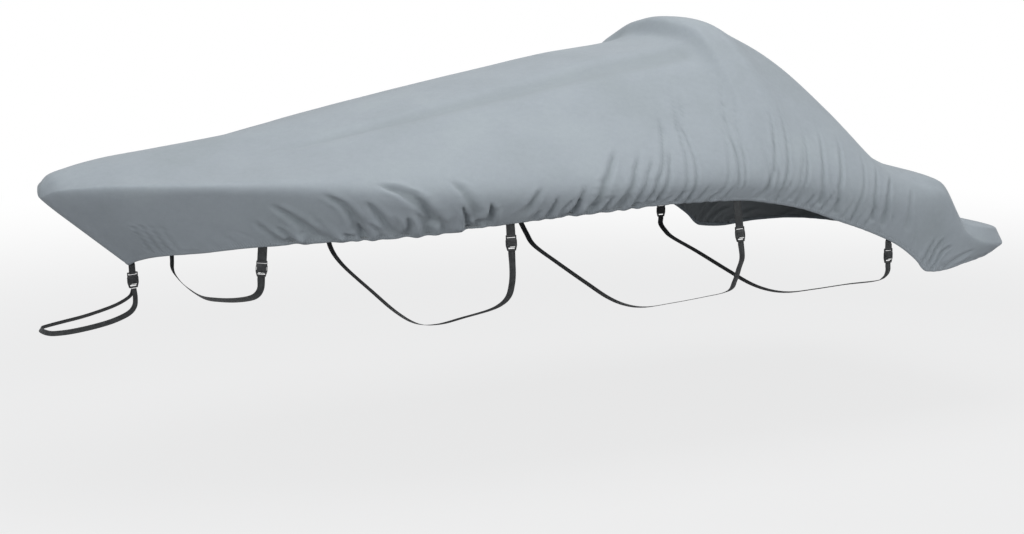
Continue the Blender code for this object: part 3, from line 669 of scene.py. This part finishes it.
def stitch_mesh(name, centres, directions, lengths, radius):
    """Short thick threads with tapered ends, all in one mesh."""
    made = bmesh.new()
    for centre, direction, length in zip(centres, directions, lengths):
        turned = direction.to_track_quat('Z', 'Y').to_matrix()
        rings = []
        for place, share in ((-0.5, 0.35), (-0.32, 1.0), (0.32, 1.0), (0.5, 0.35)):
            ring = []
            for k in range(5):
                turn = math.tau * k / 5
                offset = Vector((math.cos(turn) * radius * share, math.sin(turn) * radius * share,
                                 place * length))
                ring.append(made.verts.new(centre + turned @ offset))
            rings.append(ring)
        for lower, upper in zip(rings, rings[1:]):
            for k in range(5):
                made.faces.new((lower[k], lower[(k + 1) % 5], upper[(k + 1) % 5], upper[k]))
        made.faces.new(rings[0][::-1])
        made.faces.new(rings[-1])
    return add_object(name, finished_mesh(name, made))


thread_paint, thread_tree, thread_shader = new_material("sewing thread", 0.6)
thread_place = thread_tree.nodes.new('ShaderNodeTexCoord').outputs["Object"]
strands = noise_mask(thread_tree, thread_place, 900)
thread_base = ramp(thread_tree, strands, ((0.3, (0.22, 0.25, 0.26)), (0.7, (0.36, 0.39, 0.40))))
thread_tree.links.new(thread_base, thread_shader.inputs["Base Color"])
thread_tree.links.new(bump(thread_tree, strands, 1.0, 0.0002), thread_shader.inputs["Normal"])

for side, side_name in ((-1, "port"), (1, "starboard")):
    shaped, normals, _, _, height = sides[side]
    line = []
    for number in range(len(stations)):
        row = int(np.searchsorted(height[number], HEM_CASING))
        low, high = height[number, row - 1], height[number, row]
        share = (HEM_CASING - low) / (high - low)
        point = shaped[number, row - 1] * (1 - share) + shaped[number, row] * share
        line.append(placed(point + normals[number, row] * STITCH_RADIUS * 0.7))
    line = np.array(line)
    run = np.concatenate([[0], np.cumsum(np.linalg.norm(np.diff(line, axis=0), axis=1))])
    starts = np.arange(0.01, run[-1] - 0.01, STITCH_STEP)
    first = np.stack([np.interp(starts, run, line[:, k]) for k in range(3)], axis=1)
    last = np.stack([np.interp(starts + STITCH_LONG, run, line[:, k]) for k in range(3)], axis=1)
    stitches = stitch_mesh(f"hem_stitches_{side_name}", [Vector(p) for p in (first + last) / 2],
                           [Vector(p) for p in last - first], [STITCH_LONG] * len(starts), STITCH_RADIUS)
    stitches.data.materials.append(thread_paint)
    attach(stitches, "root")


# Webbing tabs: black polyester webbing, 46 mm wide, sewn inside the hem. Each goes down behind the
# top bar of its buckle, round the bar and back up in front, where its end is tacked down.
WEB_WIDE = 0.046
WEB_NARROW = 0.034
WEB_LAYER = 0.0019
TAB_THICK = 0.005
CLOTH = 0.002
CLEAR = 0.006
TUCK = 0.024
GAP = 0.0004
BAR_DEPTH = 0.0075
# Where the tab turns down behind the hem's edge, above and below it.
TAB_BEND = 0.006
TAB_START = 0.008
# The slack that parts the tab's two layers.
LAYER_GAP = 0.0004
LAYER_SPREAD = 0.0008
# The box of stitches: its share of the webbing's width, half its height, and its stitches.
TACK_SHARE = 0.38
TACK_HALF = 0.008
TACK_STEP = 0.0034
TACK_STITCH = 0.0026
TACK_RADIUS = 0.0004
TACK_LIFT = 0.0003
TACK_PLACE = 0.52
# The bow's tab hangs from the bow pocket's foot, leaning aft by BOW_RAKE.
BOW_TAB_PLACE = (0.468, 0.0, 1.072)
BOW_TAB_LONG = 0.058
BOW_TACK_DOWN = 0.030
BOW_RAKE = 0.06


def smooth_path(points, per_span):
    """A smooth line through the points."""
    ends = [points[0] * 2 - points[1]] + points + [points[-1] * 2 - points[-2]]
    found = []
    for a, b, c, d in zip(ends, ends[1:], ends[2:], ends[3:]):
        for step in range(per_span):
            t = step / per_span
            found.append(0.5 * (2 * b + (c - a) * t + (2 * a - 5 * b + 4 * c - d) * t * t
                                + (3 * b - a - 3 * c + d) * t * t * t))
    return found + [points[-1]]


def webbing(name, path, across, widths, thickness, pleats=((0, 0.0), (1, 0.0))):
    """Flat webbing along a path, with thick rounded selvedges. Columns of widths and of pleats:
    share of the way along, size. A pleat is the depth of the lengthwise folds."""
    made = bmesh.new()
    cloth = made.loops.layers.uv.new("cloth")
    places = {}
    lengths = [0.0]
    for a, b in zip(path, path[1:]):
        lengths.append(lengths[-1] + (b - a).length)
    cells = 14
    rings = []
    for number, point in enumerate(path):
        run = (path[min(number + 1, len(path) - 1)] - path[max(number - 1, 0)]).normalized()
        across = (across - run * across.dot(run)).normalized()
        normal = run.cross(across)
        share = lengths[number] / lengths[-1]
        width = float(np.interp(share, *np.array(widths).T))
        fold = float(np.interp(share, *np.array(pleats).T))
        front = []
        back = []
        for k in range(cells + 1):
            place = k / cells - 0.5
            wave = fold * math.cos(math.tau * 1.5 * place)
            edge = 1.0 - 0.55 * max(0.0, abs(place) * 2 - 0.93) / 0.07
            middle = point + across * (width * place) + normal * wave
            front.append(made.verts.new(middle + normal * (thickness / 2 * edge)))
            back.append(made.verts.new(middle - normal * (thickness / 2 * edge)))
            places[front[-1]] = (width * place, lengths[number])
            places[back[-1]] = (width * place, lengths[number])
        rings.append(front + back[::-1])
    for lower, upper in zip(rings, rings[1:]):
        count = len(lower)
        for k in range(count):
            made.faces.new((lower[k], lower[(k + 1) % count], upper[(k + 1) % count], upper[k]))
    for ring, order in ((rings[0], -1), (rings[-1], 1)):
        half = len(ring) // 2
        for k in range(half - 1):
            corners = (ring[k], ring[k + 1], ring[-2 - k], ring[-1 - k])
            made.faces.new(corners[::order])
    for face in made.faces:
        for loop in face.loops:
            loop[cloth].uv = places[loop.vert]
    bmesh.ops.recalc_face_normals(made, faces=made.faces)
    return add_object(name, finished_mesh(name, made, 50)), lengths[-1]


web_paint, web_tree, web_shader = new_material("black webbing", 0.78)
web_shader.inputs["Sheen Weight"].default_value = 0.2
web_shader.inputs["Sheen Roughness"].default_value = 0.5
web_uv = web_tree.nodes.new('ShaderNodeUVMap')
web_uv.uv_map = "cloth"
web_weave = web_tree.nodes.new('ShaderNodeGroup')
web_weave.node_tree = weave
web_weave.inputs["Across Pitch"].default_value = 0.0032
web_weave.inputs["Along Pitch"].default_value = 0.0018
web_tree.links.new(web_uv.outputs[0], web_weave.inputs["Cloth"])
web_place = web_tree.nodes.new('ShaderNodeTexCoord').outputs["Object"]
web_wear = noise_mask(web_tree, web_place, 42, 4.0)
web_base = ramp(web_tree, web_wear, ((0.30, (0.016, 0.017, 0.018)), (0.75, (0.040, 0.043, 0.044))))
# Painted shade and highlight: the webbing's colour is darkened in the hollows of its weave and lightened on
# the tops of its threads.
web_weave_shade = ramp(web_tree, maths(web_tree, 'ADD', web_weave.outputs["Height"], 0.5),
                  ((0.1, (0.55, 0.55, 0.55)), (0.9, (1.25, 1.25, 1.25))))
web_tree.links.new(mix(web_tree, 'MULTIPLY', 0.8, web_base, web_weave_shade), web_shader.inputs["Base Color"])
web_tree.links.new(bump(web_tree, web_weave.outputs["Height"], 0.8, 0.0005), web_shader.inputs["Normal"])


def tab_route(top, down, outward, long, lead):
    """Down behind the buckle's bar, round it, and back up in front to the tacked end."""
    lift = (WEB_LAYER + LAYER_GAP) / 2
    foot = top + down * (long + BAR_DEPTH)
    points = list(lead)
    points += [top - outward * lift, top + down * (0.5 * long) - outward * lift,
               top + down * long - outward * (lift + LAYER_SPREAD)]
    radius = lift + 2 * LAYER_SPREAD
    for turn in (-60, -25, 10, 45, 80):
        angle = math.radians(turn)
        points.append(foot + outward * radius * math.sin(angle) + down * radius * math.cos(angle))
    points += [top + down * long + outward * (lift + LAYER_SPREAD),
               top + down * (0.72 * long) + outward * lift, top + down * (0.34 * long) + outward * lift]
    return smooth_path(points, 4)


def tack(name, centre, down, across, outward, wide):
    """A box of stitches with a cross in it, which holds the webbing's end."""
    corners = [centre + across * x * TACK_SHARE * wide + down * y * TACK_HALF
               for x, y in ((-1, -1), (1, -1), (1, 1), (-1, 1))]
    centres = []
    directions = []
    for first, last in ((0, 1), (1, 2), (2, 3), (3, 0), (0, 2), (1, 3)):
        start, end = corners[first], corners[last]
        count = max(2, round((end - start).length / TACK_STEP))
        for k in range(count):
            centres.append(start.lerp(end, (k + 0.5) / count) + outward * (TACK_RADIUS / 2))
            directions.append(end - start)
    stitches = stitch_mesh(name, centres, directions, [TACK_STITCH] * len(centres), TACK_RADIUS)
    stitches.data.materials.append(dark_thread)
    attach(stitches, "root")
    return stitches


dark_thread, dark_tree, dark_shader = new_material("black sewing thread", 0.5)
dark_place = dark_tree.nodes.new('ShaderNodeTexCoord').outputs["Object"]
dark_strands = noise_mask(dark_tree, dark_place, 700)
dark_base = ramp(dark_tree, dark_strands, ((0.3, (0.03, 0.032, 0.033)), (0.7, (0.075, 0.08, 0.082))))
dark_tree.links.new(dark_base, dark_shader.inputs["Base Color"])

# Where each buckle hangs: its top, the ways down, across and outward. And the hem's edge above it.
fittings = {}
hem_edges = {}
for strap_name, station, tab_long, hull_rows in STRAPS:
    for side_name, side in (("port", -1), ("starboard", 1)):
        edge, before, after, above = (
            taut_cover(np.array([station + step]), np.array([girth]), side)[0]
            for step, girth in ((0, 0.0), (-0.05, 0.0), (0.05, 0.0), (0, 0.10)))
        aft = Vector(after - before).normalized()
        rise = Vector(above - edge)
        rise = (rise - aft * rise.dot(aft)).normalized()
        inward = aft.cross(rise) * side
        hem_point = Vector(placed(edge)) + inward * (CLOTH + CLEAR + TAB_THICK / 2)
        foot = Vector(placed((edge[0] + hull_rows[0][2], side * hull_rows[0][0], hull_rows[0][1])))
        down = (foot - hem_point).normalized()
        aft = (aft - down * aft.dot(down)).normalized()
        outward = aft.cross(down) * side
        label = f"{side_name}_{strap_name}"
        lead = [hem_point + rise * TUCK, hem_point + rise * TAB_BEND]
        hanging = tab_long - TAB_START
        path = tab_route(hem_point + down * TAB_START, down, outward, hanging, lead)
        tab, tab_length = webbing(f"webbing_tab_{label}", path, aft,
                                  ((0, WEB_WIDE), (1, WEB_WIDE)), WEB_LAYER)
        tab.data.materials.append(web_paint)
        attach(tab, "root")
        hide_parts(f"tab_{label}")
        tacked = hem_point + down * (TAB_START + TACK_PLACE * hanging) + outward * (WEB_LAYER + TACK_LIFT)
        stitches = tack(f"tab_tack_{label}", tacked, down, aft, outward, WEB_WIDE)
        fittings[label] = (hem_point + down * (tab_long + GAP), down, aft * -side, outward)
        hem_edges[label] = edge

bow_top = Vector(placed(BOW_TAB_PLACE))
bow_down = Vector((BOW_RAKE, 0, -1)).normalized()
bow_across = Vector((1, 0, BOW_RAKE)).normalized()
bow_outward = Vector((0, -1, 0))
bow_path = tab_route(bow_top, bow_down, bow_outward, BOW_TAB_LONG, [])
bow_tab, bow_tab_length = webbing("webbing_tab_bow", bow_path, bow_across,
                                  ((0, WEB_NARROW), (1, WEB_NARROW)), WEB_LAYER)
bow_tab.data.materials.append(web_paint)
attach(bow_tab, "root")
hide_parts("bow_tab")
bow_tacked = bow_top + bow_down * BOW_TACK_DOWN + bow_outward * (WEB_LAYER + TACK_LIFT)
bow_tack = tack("tab_tack_bow", bow_tacked, bow_down, bow_across, bow_outward, WEB_NARROW)
fittings["bow"] = (bow_top + bow_down * (BOW_TAB_LONG + GAP), bow_down, bow_across, bow_outward)


# Buckles: moulded in black nylon in one piece, with a slotted head for the tab, a grip panel, side
# openings for the spring legs and a tapered tail that holds the hull strap behind a steel roller.
BUCKLE_LONG = 0.078
BUCKLE_THICK = 0.012
BUCKLE_TAIL = 0.026
BUCKLE_HALF = 0.0285
BUCKLE_TAIL_HALF = 0.021
BUCKLE_BODY = 0.0102


def outline(corners, radius, steps=4):
    """A closed outline with rounded corners."""
    found = []
    count = len(corners)
    for k in range(count):
        corner = Vector(corners[k])
        back = (Vector(corners[k - 1]) - corner).normalized()
        ahead = (Vector(corners[(k + 1) % count]) - corner).normalized()
        start = corner + back * radius
        end = corner + ahead * radius
        for step in range(steps + 1):
            t = step / steps
            found.append(start.lerp(corner, t).lerp(corner.lerp(end, t), t))
    return found


def moulded_slab(outer, holes, thickness, depth, edge):
    """A flat moulding with holes and rounded edges, as a mesh object."""
    shape = bpy.data.curves.new("moulding", 'CURVE')
    shape.dimensions = '2D'
    shape.fill_mode = 'BOTH'
    shape.extrude = thickness / 2
    for points in [outer] + holes:
        line = shape.splines.new('POLY')
        line.points.add(len(points) - 1)
        for corner, point in zip(line.points, points):
            corner.co = (point.x, point.y, 0, 1)
        line.use_cyclic_u = True
    holder = add_object("moulding", shape)
    weld = holder.modifiers.new("caps", 'WELD')
    weld.merge_threshold = 0.00001
    bevel = holder.modifiers.new("edges", 'BEVEL')
    bevel.width = edge
    bevel.segments = 2
    bevel.limit_method = 'ANGLE'
    bevel.angle_limit = math.radians(50)
    depsgraph = bpy.context.evaluated_depsgraph_get()
    data = bpy.data.meshes.new_from_object(holder.evaluated_get(depsgraph))
    bpy.data.objects.remove(holder)
    bpy.data.curves.remove(shape)
    data.transform(Matrix.Translation((0, 0, depth)))
    return data


def buckle_mesh():
    """The whole buckle, its top at the origin, down along -Y and its front along +Z."""
    long_side = BUCKLE_LONG - BUCKLE_TAIL
    half = BUCKLE_HALF
    outer = outline(((-half + 0.002, 0), (-half + 0.002, -0.021), (-half, -0.026), (-half, -long_side),
                     (-BUCKLE_TAIL_HALF, -BUCKLE_LONG), (BUCKLE_TAIL_HALF, -BUCKLE_LONG),
                     (half, -long_side), (half, -0.026), (half - 0.002, -0.021), (half - 0.002, 0)), 0.0022)
    slot = outline(((-0.0238, -0.0055), (0.0238, -0.0055), (0.0238, -0.0140), (-0.0238, -0.0140)), 0.0015)
    windows = [outline(((x, -0.0285), (x + 0.0068, -0.0285), (x + 0.0068, -0.0475), (x, -0.0475)), 0.0015)
               for x in (-0.0262, 0.0194)]
    tail_slot = outline(((-0.0185, -0.0615), (0.0185, -0.0615), (0.0175, -0.0705), (-0.0175, -0.0705)),
                        0.0015)
    parts = [moulded_slab(outer, [slot, tail_slot] + windows, BUCKLE_BODY, 0.0, 0.0012)]
    panel = outline(((-0.0165, -0.0235), (0.0165, -0.0235), (0.0150, -0.0500), (-0.0150, -0.0500)), 0.003)
    parts.append(moulded_slab(panel, [], 0.0030, 0.0052, 0.0009))
    for row in range(4):
        y = -0.0290 - row * 0.0050
        rib = outline(((-0.0115, y), (0.0115, y), (0.0115, y - 0.0020), (-0.0115, y - 0.0020)), 0.0009, 3)
        parts.append(moulded_slab(rib, [], 0.0014, 0.0070, 0.0004))
    for x in (-0.0240, 0.0200):
        leg = outline(((x, -0.0270), (x + 0.0040, -0.0270), (x + 0.0040, -0.0490), (x, -0.0490)), 0.0014)
        parts.append(moulded_slab(leg, [], 0.0066, 0.0, 0.0009))
    joined = bmesh.new()
    for data in parts:
        joined.from_mesh(data)
        bpy.data.meshes.remove(data)
    return finished_mesh("buckle", joined, 32)


buckle_paint, buckle_tree, buckle_shader = new_material("black nylon", 0.42)
buckle_place = buckle_tree.nodes.new('ShaderNodeTexCoord').outputs["Object"]
grain = noise_mask(buckle_tree, buckle_place, 1400)
scuff = noise_mask(buckle_tree, buckle_place, 120, 5.0)
buckle_base = ramp(buckle_tree, scuff, ((0.35, (0.020, 0.021, 0.022)), (0.80, (0.060, 0.063, 0.065))))
buckle_tree.links.new(buckle_base, buckle_shader.inputs["Base Color"])
scuff_rough = maths(buckle_tree, 'MULTIPLY_ADD', scuff, 0.35)
scuff_rough.node.inputs[2].default_value = 0.26
buckle_tree.links.new(scuff_rough, buckle_shader.inputs["Roughness"])
buckle_tree.links.new(bump(buckle_tree, grain, 0.25, 0.0001), buckle_shader.inputs["Normal"])

buckle_data = buckle_mesh()
buckle_data.materials.append(buckle_paint)


def frame_matrix(first, second, third, place):
    """The matrix that has these axes and this place."""
    made = Matrix((first, second, third)).transposed().to_4x4()
    made.translation = place
    return made


for label, (top, down, across, outward) in fittings.items():
    data = buckle_data.copy()
    data.transform(frame_matrix(across, -down, outward, top))
    buckle = add_object(f"moulded_buckle_{label}", data)
    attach(buckle, "root")
    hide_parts("bow_buckle" if label == "bow" else f"buckle_{label}")


# Rollers: bright steel pins in the buckles' tails, turned with domed ends, which the hull strap
# is pulled over.
ROLLER_LONG = 0.030
ROLLER_RADIUS = 0.0040
ROLLER_DOWN = 0.006


def roller_mesh():
    """A turned pin with a groove at each end, along X."""
    profile = ((0.0, 0.500), (0.45, 0.498), (0.80, 0.480), (0.97, 0.455), (1.0, 0.430), (1.0, 0.385),
               (0.82, 0.378), (0.82, 0.352), (0.98, 0.345), (1.0, 0.30), (1.0, 0.0))
    full = [(r, x) for r, x in profile] + [(r, -x) for r, x in profile[-2::-1]]
    made = bmesh.new()
    around = 28
    rings = []
    for r, x in full:
        if r == 0:
            rings.append([made.verts.new((x * ROLLER_LONG, 0, 0))])
            continue
        rings.append([made.verts.new((x * ROLLER_LONG, r * ROLLER_RADIUS * math.cos(math.tau * k / around),
                                      r * ROLLER_RADIUS * math.sin(math.tau * k / around)))
                      for k in range(around)])
    for lower, upper in zip(rings, rings[1:]):
        for k in range(around):
            after = (k + 1) % around
            if len(lower) == 1:
                made.faces.new((lower[0], upper[k], upper[after]))
            elif len(upper) == 1:
                made.faces.new((lower[after], lower[k], upper[0]))
            else:
                made.faces.new((lower[k], upper[k], upper[after], lower[after]))
    bmesh.ops.recalc_face_normals(made, faces=made.faces)
    return finished_mesh("roller", made, 38)


steel_paint, steel_tree, steel_shader = new_material("bright steel", 0.24, 1.0)
steel_place = steel_tree.nodes.new('ShaderNodeTexCoord').outputs["Object"]
steel_marks = noise_mask(steel_tree, steel_place, 260, 4.0)
steel_base = ramp(steel_tree, steel_marks, ((0.3, (0.62, 0.62, 0.60)), (0.7, (0.84, 0.84, 0.82))))
steel_tree.links.new(steel_base, steel_shader.inputs["Base Color"])
steel_rough = maths(steel_tree, 'MULTIPLY_ADD', steel_marks, 0.20)
steel_rough.node.inputs[2].default_value = 0.14
steel_tree.links.new(steel_rough, steel_shader.inputs["Roughness"])
steel_tree.links.new(bump(steel_tree, steel_marks, 0.2, 0.00006), steel_shader.inputs["Normal"])

roller_data = roller_mesh()
roller_data.materials.append(steel_paint)
for label, (top, down, across, outward) in fittings.items():
    centre = (top + down * (BUCKLE_LONG - BUCKLE_TAIL + ROLLER_DOWN)
              + outward * (BUCKLE_THICK / 2 + ROLLER_RADIUS + GAP))
    data = roller_data.copy()
    data.transform(frame_matrix(across, -down, outward, centre))
    roller = add_object(f"steel_roller_{label}", data)
    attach(roller, "root")
    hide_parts("bow_pin" if label == "bow" else f"pin_{label}")


# Hull straps: black polyester webbing from a port buckle, down and under the hull, up to the
# starboard one. It starts inside the buckles' tails and is gathered where it leaves them.
STRAP_MOUTH = 0.0350
STRAP_SPREAD = 0.0375
STRAP_INSIDE = 0.010
LEAD = 0.012
GATHER_LONG = 0.075
PLEAT = 0.0026
PLEAT_LOW = 0.0008
for strap_name, _, _, hull_rows in STRAPS:
    halves = {}
    for side_name, side in (("port", -1), ("starboard", 1)):
        label = f"{side_name}_{strap_name}"
        top, down, _, _ = fittings[label]
        end = top + down * (BUCKLE_LONG + GAP)
        halves[side] = [top + down * (BUCKLE_LONG - STRAP_INSIDE), end, end + down * LEAD]
        halves[side] += [Vector(placed((hem_edges[label][0] + shift, side * out, up)))
                         for out, up, shift in hull_rows]
    path = smooth_path(halves[-1] + halves[1][-2::-1], 8)
    aft = fittings[f"port_{strap_name}"][2]
    whole = sum((b - a).length for a, b in zip(path, path[1:]))
    gather = GATHER_LONG / whole
    strap, strap_length = webbing(
        f"webbing_strap_{strap_name}", path, aft,
        ((0, STRAP_MOUTH), (0.25 * gather, STRAP_SPREAD), (gather, WEB_NARROW), (1 - gather, WEB_NARROW),
         (1 - 0.25 * gather, STRAP_SPREAD), (1, STRAP_MOUTH)), WEB_LAYER,
        ((0, 0.0), (0.35 * gather, PLEAT), (1.6 * gather, PLEAT_LOW), (0.5, 0.0),
         (1 - 1.6 * gather, PLEAT_LOW), (1 - 0.35 * gather, PLEAT), (1, 0.0)))
    strap.data.materials.append(web_paint)
    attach(strap, "root")
    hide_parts(f"strap_{strap_name}")


# Bow strap: one loop of black webbing, 26 mm wide, from the bow buckle's tail forward round the
# trailer's winch post and back. Columns of BOW_LOOP: aft, out, up.
WEB_BOW = 0.026
BOW_LOOP = (
    (0.4765, -0.0045, 0.9330), (0.479, -0.012, 0.890), (0.466, -0.030, 0.850),
    (0.425, -0.048, 0.820), (0.340, -0.060, 0.794), (0.235, -0.066, 0.776), (0.120, -0.068, 0.764),
    (0.040, -0.066, 0.762), (0.006, -0.052, 0.764), (-0.004, 0.000, 0.767),
    (0.006, 0.052, 0.771), (0.040, 0.066, 0.776), (0.120, 0.068, 0.788),
    (0.235, 0.064, 0.806), (0.340, 0.052, 0.832), (0.410, 0.034, 0.858),
    (0.462, 0.012, 0.894), (0.4755, 0.0045, 0.9300),
)
bow_route = [Vector(placed(point)) for point in BOW_LOOP]
bow_strap, bow_strap_length = webbing(
    "webbing_strap_bow", smooth_path(bow_route, 8), Vector((-1, 0, 0)),
    ((0, WEB_BOW), (1, WEB_BOW)), WEB_LAYER,
    ((0, 0.0), (0.06, 0.0012), (0.2, 0.0004), (0.8, 0.0004), (0.94, 0.0012), (1, 0.0)))
bow_strap.data.materials.append(web_paint)
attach(bow_strap, "root")
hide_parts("bow_strap")


# Floor: plain pale ground under the trailer's wheels, with a faint mottle. It is lit as pale
# concrete. The camera alone sees it paler than that, and as plain white from FLOOR_FAR on.
FLOOR_UP = -CROWN_UP
FLOOR_PALE = 0.77
FLOOR_NEAR = 3.5
FLOOR_FAR = 10.0
floor_data = bpy.data.meshes.new("floor")
floor_shape = bmesh.new()
bmesh.ops.create_grid(floor_shape, x_segments=2, y_segments=2, size=60)
floor_shape.to_mesh(floor_data)
floor_shape.free()
floor = add_object("floor", floor_data)
floor.location = (0, 0, FLOOR_UP)
floor_paint, floor_tree, floor_shader = new_material("floor", 0.7)
floor_place = floor_tree.nodes.new('ShaderNodeTexCoord').outputs["Object"]
floor_mottle = noise_mask(floor_tree, floor_place, 0.8)
floor_base = ramp(floor_tree, floor_mottle, ((0.3, (0.31, 0.31, 0.32)), (0.7, (0.33, 0.33, 0.34))))
floor_tree.links.new(floor_base, floor_shader.inputs["Base Color"])
far_away = floor_tree.nodes.new('ShaderNodeVectorMath')
far_away.operation = 'LENGTH'
floor_tree.links.new(floor_place, far_away.inputs[0])
far_fade = floor_tree.nodes.new('ShaderNodeMapRange')
far_fade.interpolation_type = 'SMOOTHSTEP'
far_fade.inputs["From Min"].default_value = FLOOR_NEAR
far_fade.inputs["From Max"].default_value = FLOOR_FAR
far_fade.inputs["To Min"].default_value = FLOOR_PALE
floor_tree.links.new(far_away.outputs["Value"], far_fade.inputs["Value"])
floor_sight = floor_tree.nodes.new('ShaderNodeLightPath')
floor_white = floor_tree.nodes.new('ShaderNodeEmission')
floor_blend = floor_tree.nodes.new('ShaderNodeMixShader')
floor_seen = maths(floor_tree, 'MULTIPLY', far_fade.outputs[0], floor_sight.outputs["Is Camera Ray"])
floor_tree.links.new(floor_seen, floor_blend.inputs[0])
floor_tree.links.new(floor_shader.outputs[0], floor_blend.inputs[1])
floor_tree.links.new(floor_white.outputs[0], floor_blend.inputs[2])
floor_tree.links.new(floor_blend.outputs[0], floor_tree.nodes["Material Output"].inputs["Surface"])
floor_data.materials.append(floor_paint)


# Light: a dim even sky, which the camera sees as plain white, and four wide soft boxes: one over
# the boat and three round its port side. Columns: name, place, aim, width, height, power.
SKY_LIGHT = 0.38
SKY_TINT = (0.94, 0.97, 1.0, 1.0)
LAMPS = (
    ("overhead", (-0.8, 0.0, 5.5), (-0.8, 0.0, -0.6), 9.0, 5.0, 330),
    ("port side", (1.0, -8.5, 2.2), (0.8, 0.0, -0.9), 10.0, 3.0, 205),
    ("bow side", (-9.5, -5.5, 1.4), (-2.2, 0.0, -0.8), 5.0, 3.0, 270),
    ("stern side", (8.0, -7.0, 1.6), (1.4, 0.0, -1.0), 4.0, 3.0, 130),
)
for name, place, aim, wide, tall, power in LAMPS:
    lamp_data = bpy.data.lights.new(name, 'AREA')
    lamp_data.shape = 'RECTANGLE'
    lamp_data.size = wide
    lamp_data.size_y = tall
    lamp_data.energy = power
    lamp = add_object(name, lamp_data)
    lamp.location = place
    lamp.rotation_euler = (Vector(aim) - Vector(place)).to_track_quat('-Z', 'Y').to_euler()
sky = bpy.data.worlds.new("sky")
sky.use_nodes = True
sky_tree = sky.node_tree
sky_light = sky_tree.nodes["Background"]
sky_light.inputs["Color"].default_value = SKY_TINT
sky_light.inputs["Strength"].default_value = SKY_LIGHT
sky_white = sky_tree.nodes.new('ShaderNodeBackground')
sky_white.inputs["Color"].default_value = (1.0, 1.0, 1.0, 1.0)
sky_sight = sky_tree.nodes.new('ShaderNodeLightPath')
sky_blend = sky_tree.nodes.new('ShaderNodeMixShader')
sky_tree.links.new(sky_sight.outputs["Is Camera Ray"], sky_blend.inputs[0])
sky_tree.links.new(sky_light.outputs[0], sky_blend.inputs[1])
sky_tree.links.new(sky_white.outputs[0], sky_blend.inputs[2])
sky_tree.links.new(sky_blend.outputs[0], sky_tree.nodes["World Output"].inputs["Surface"])
bpy.context.scene.world = sky
bpy.context.scene.view_settings.view_transform = 'Standard'
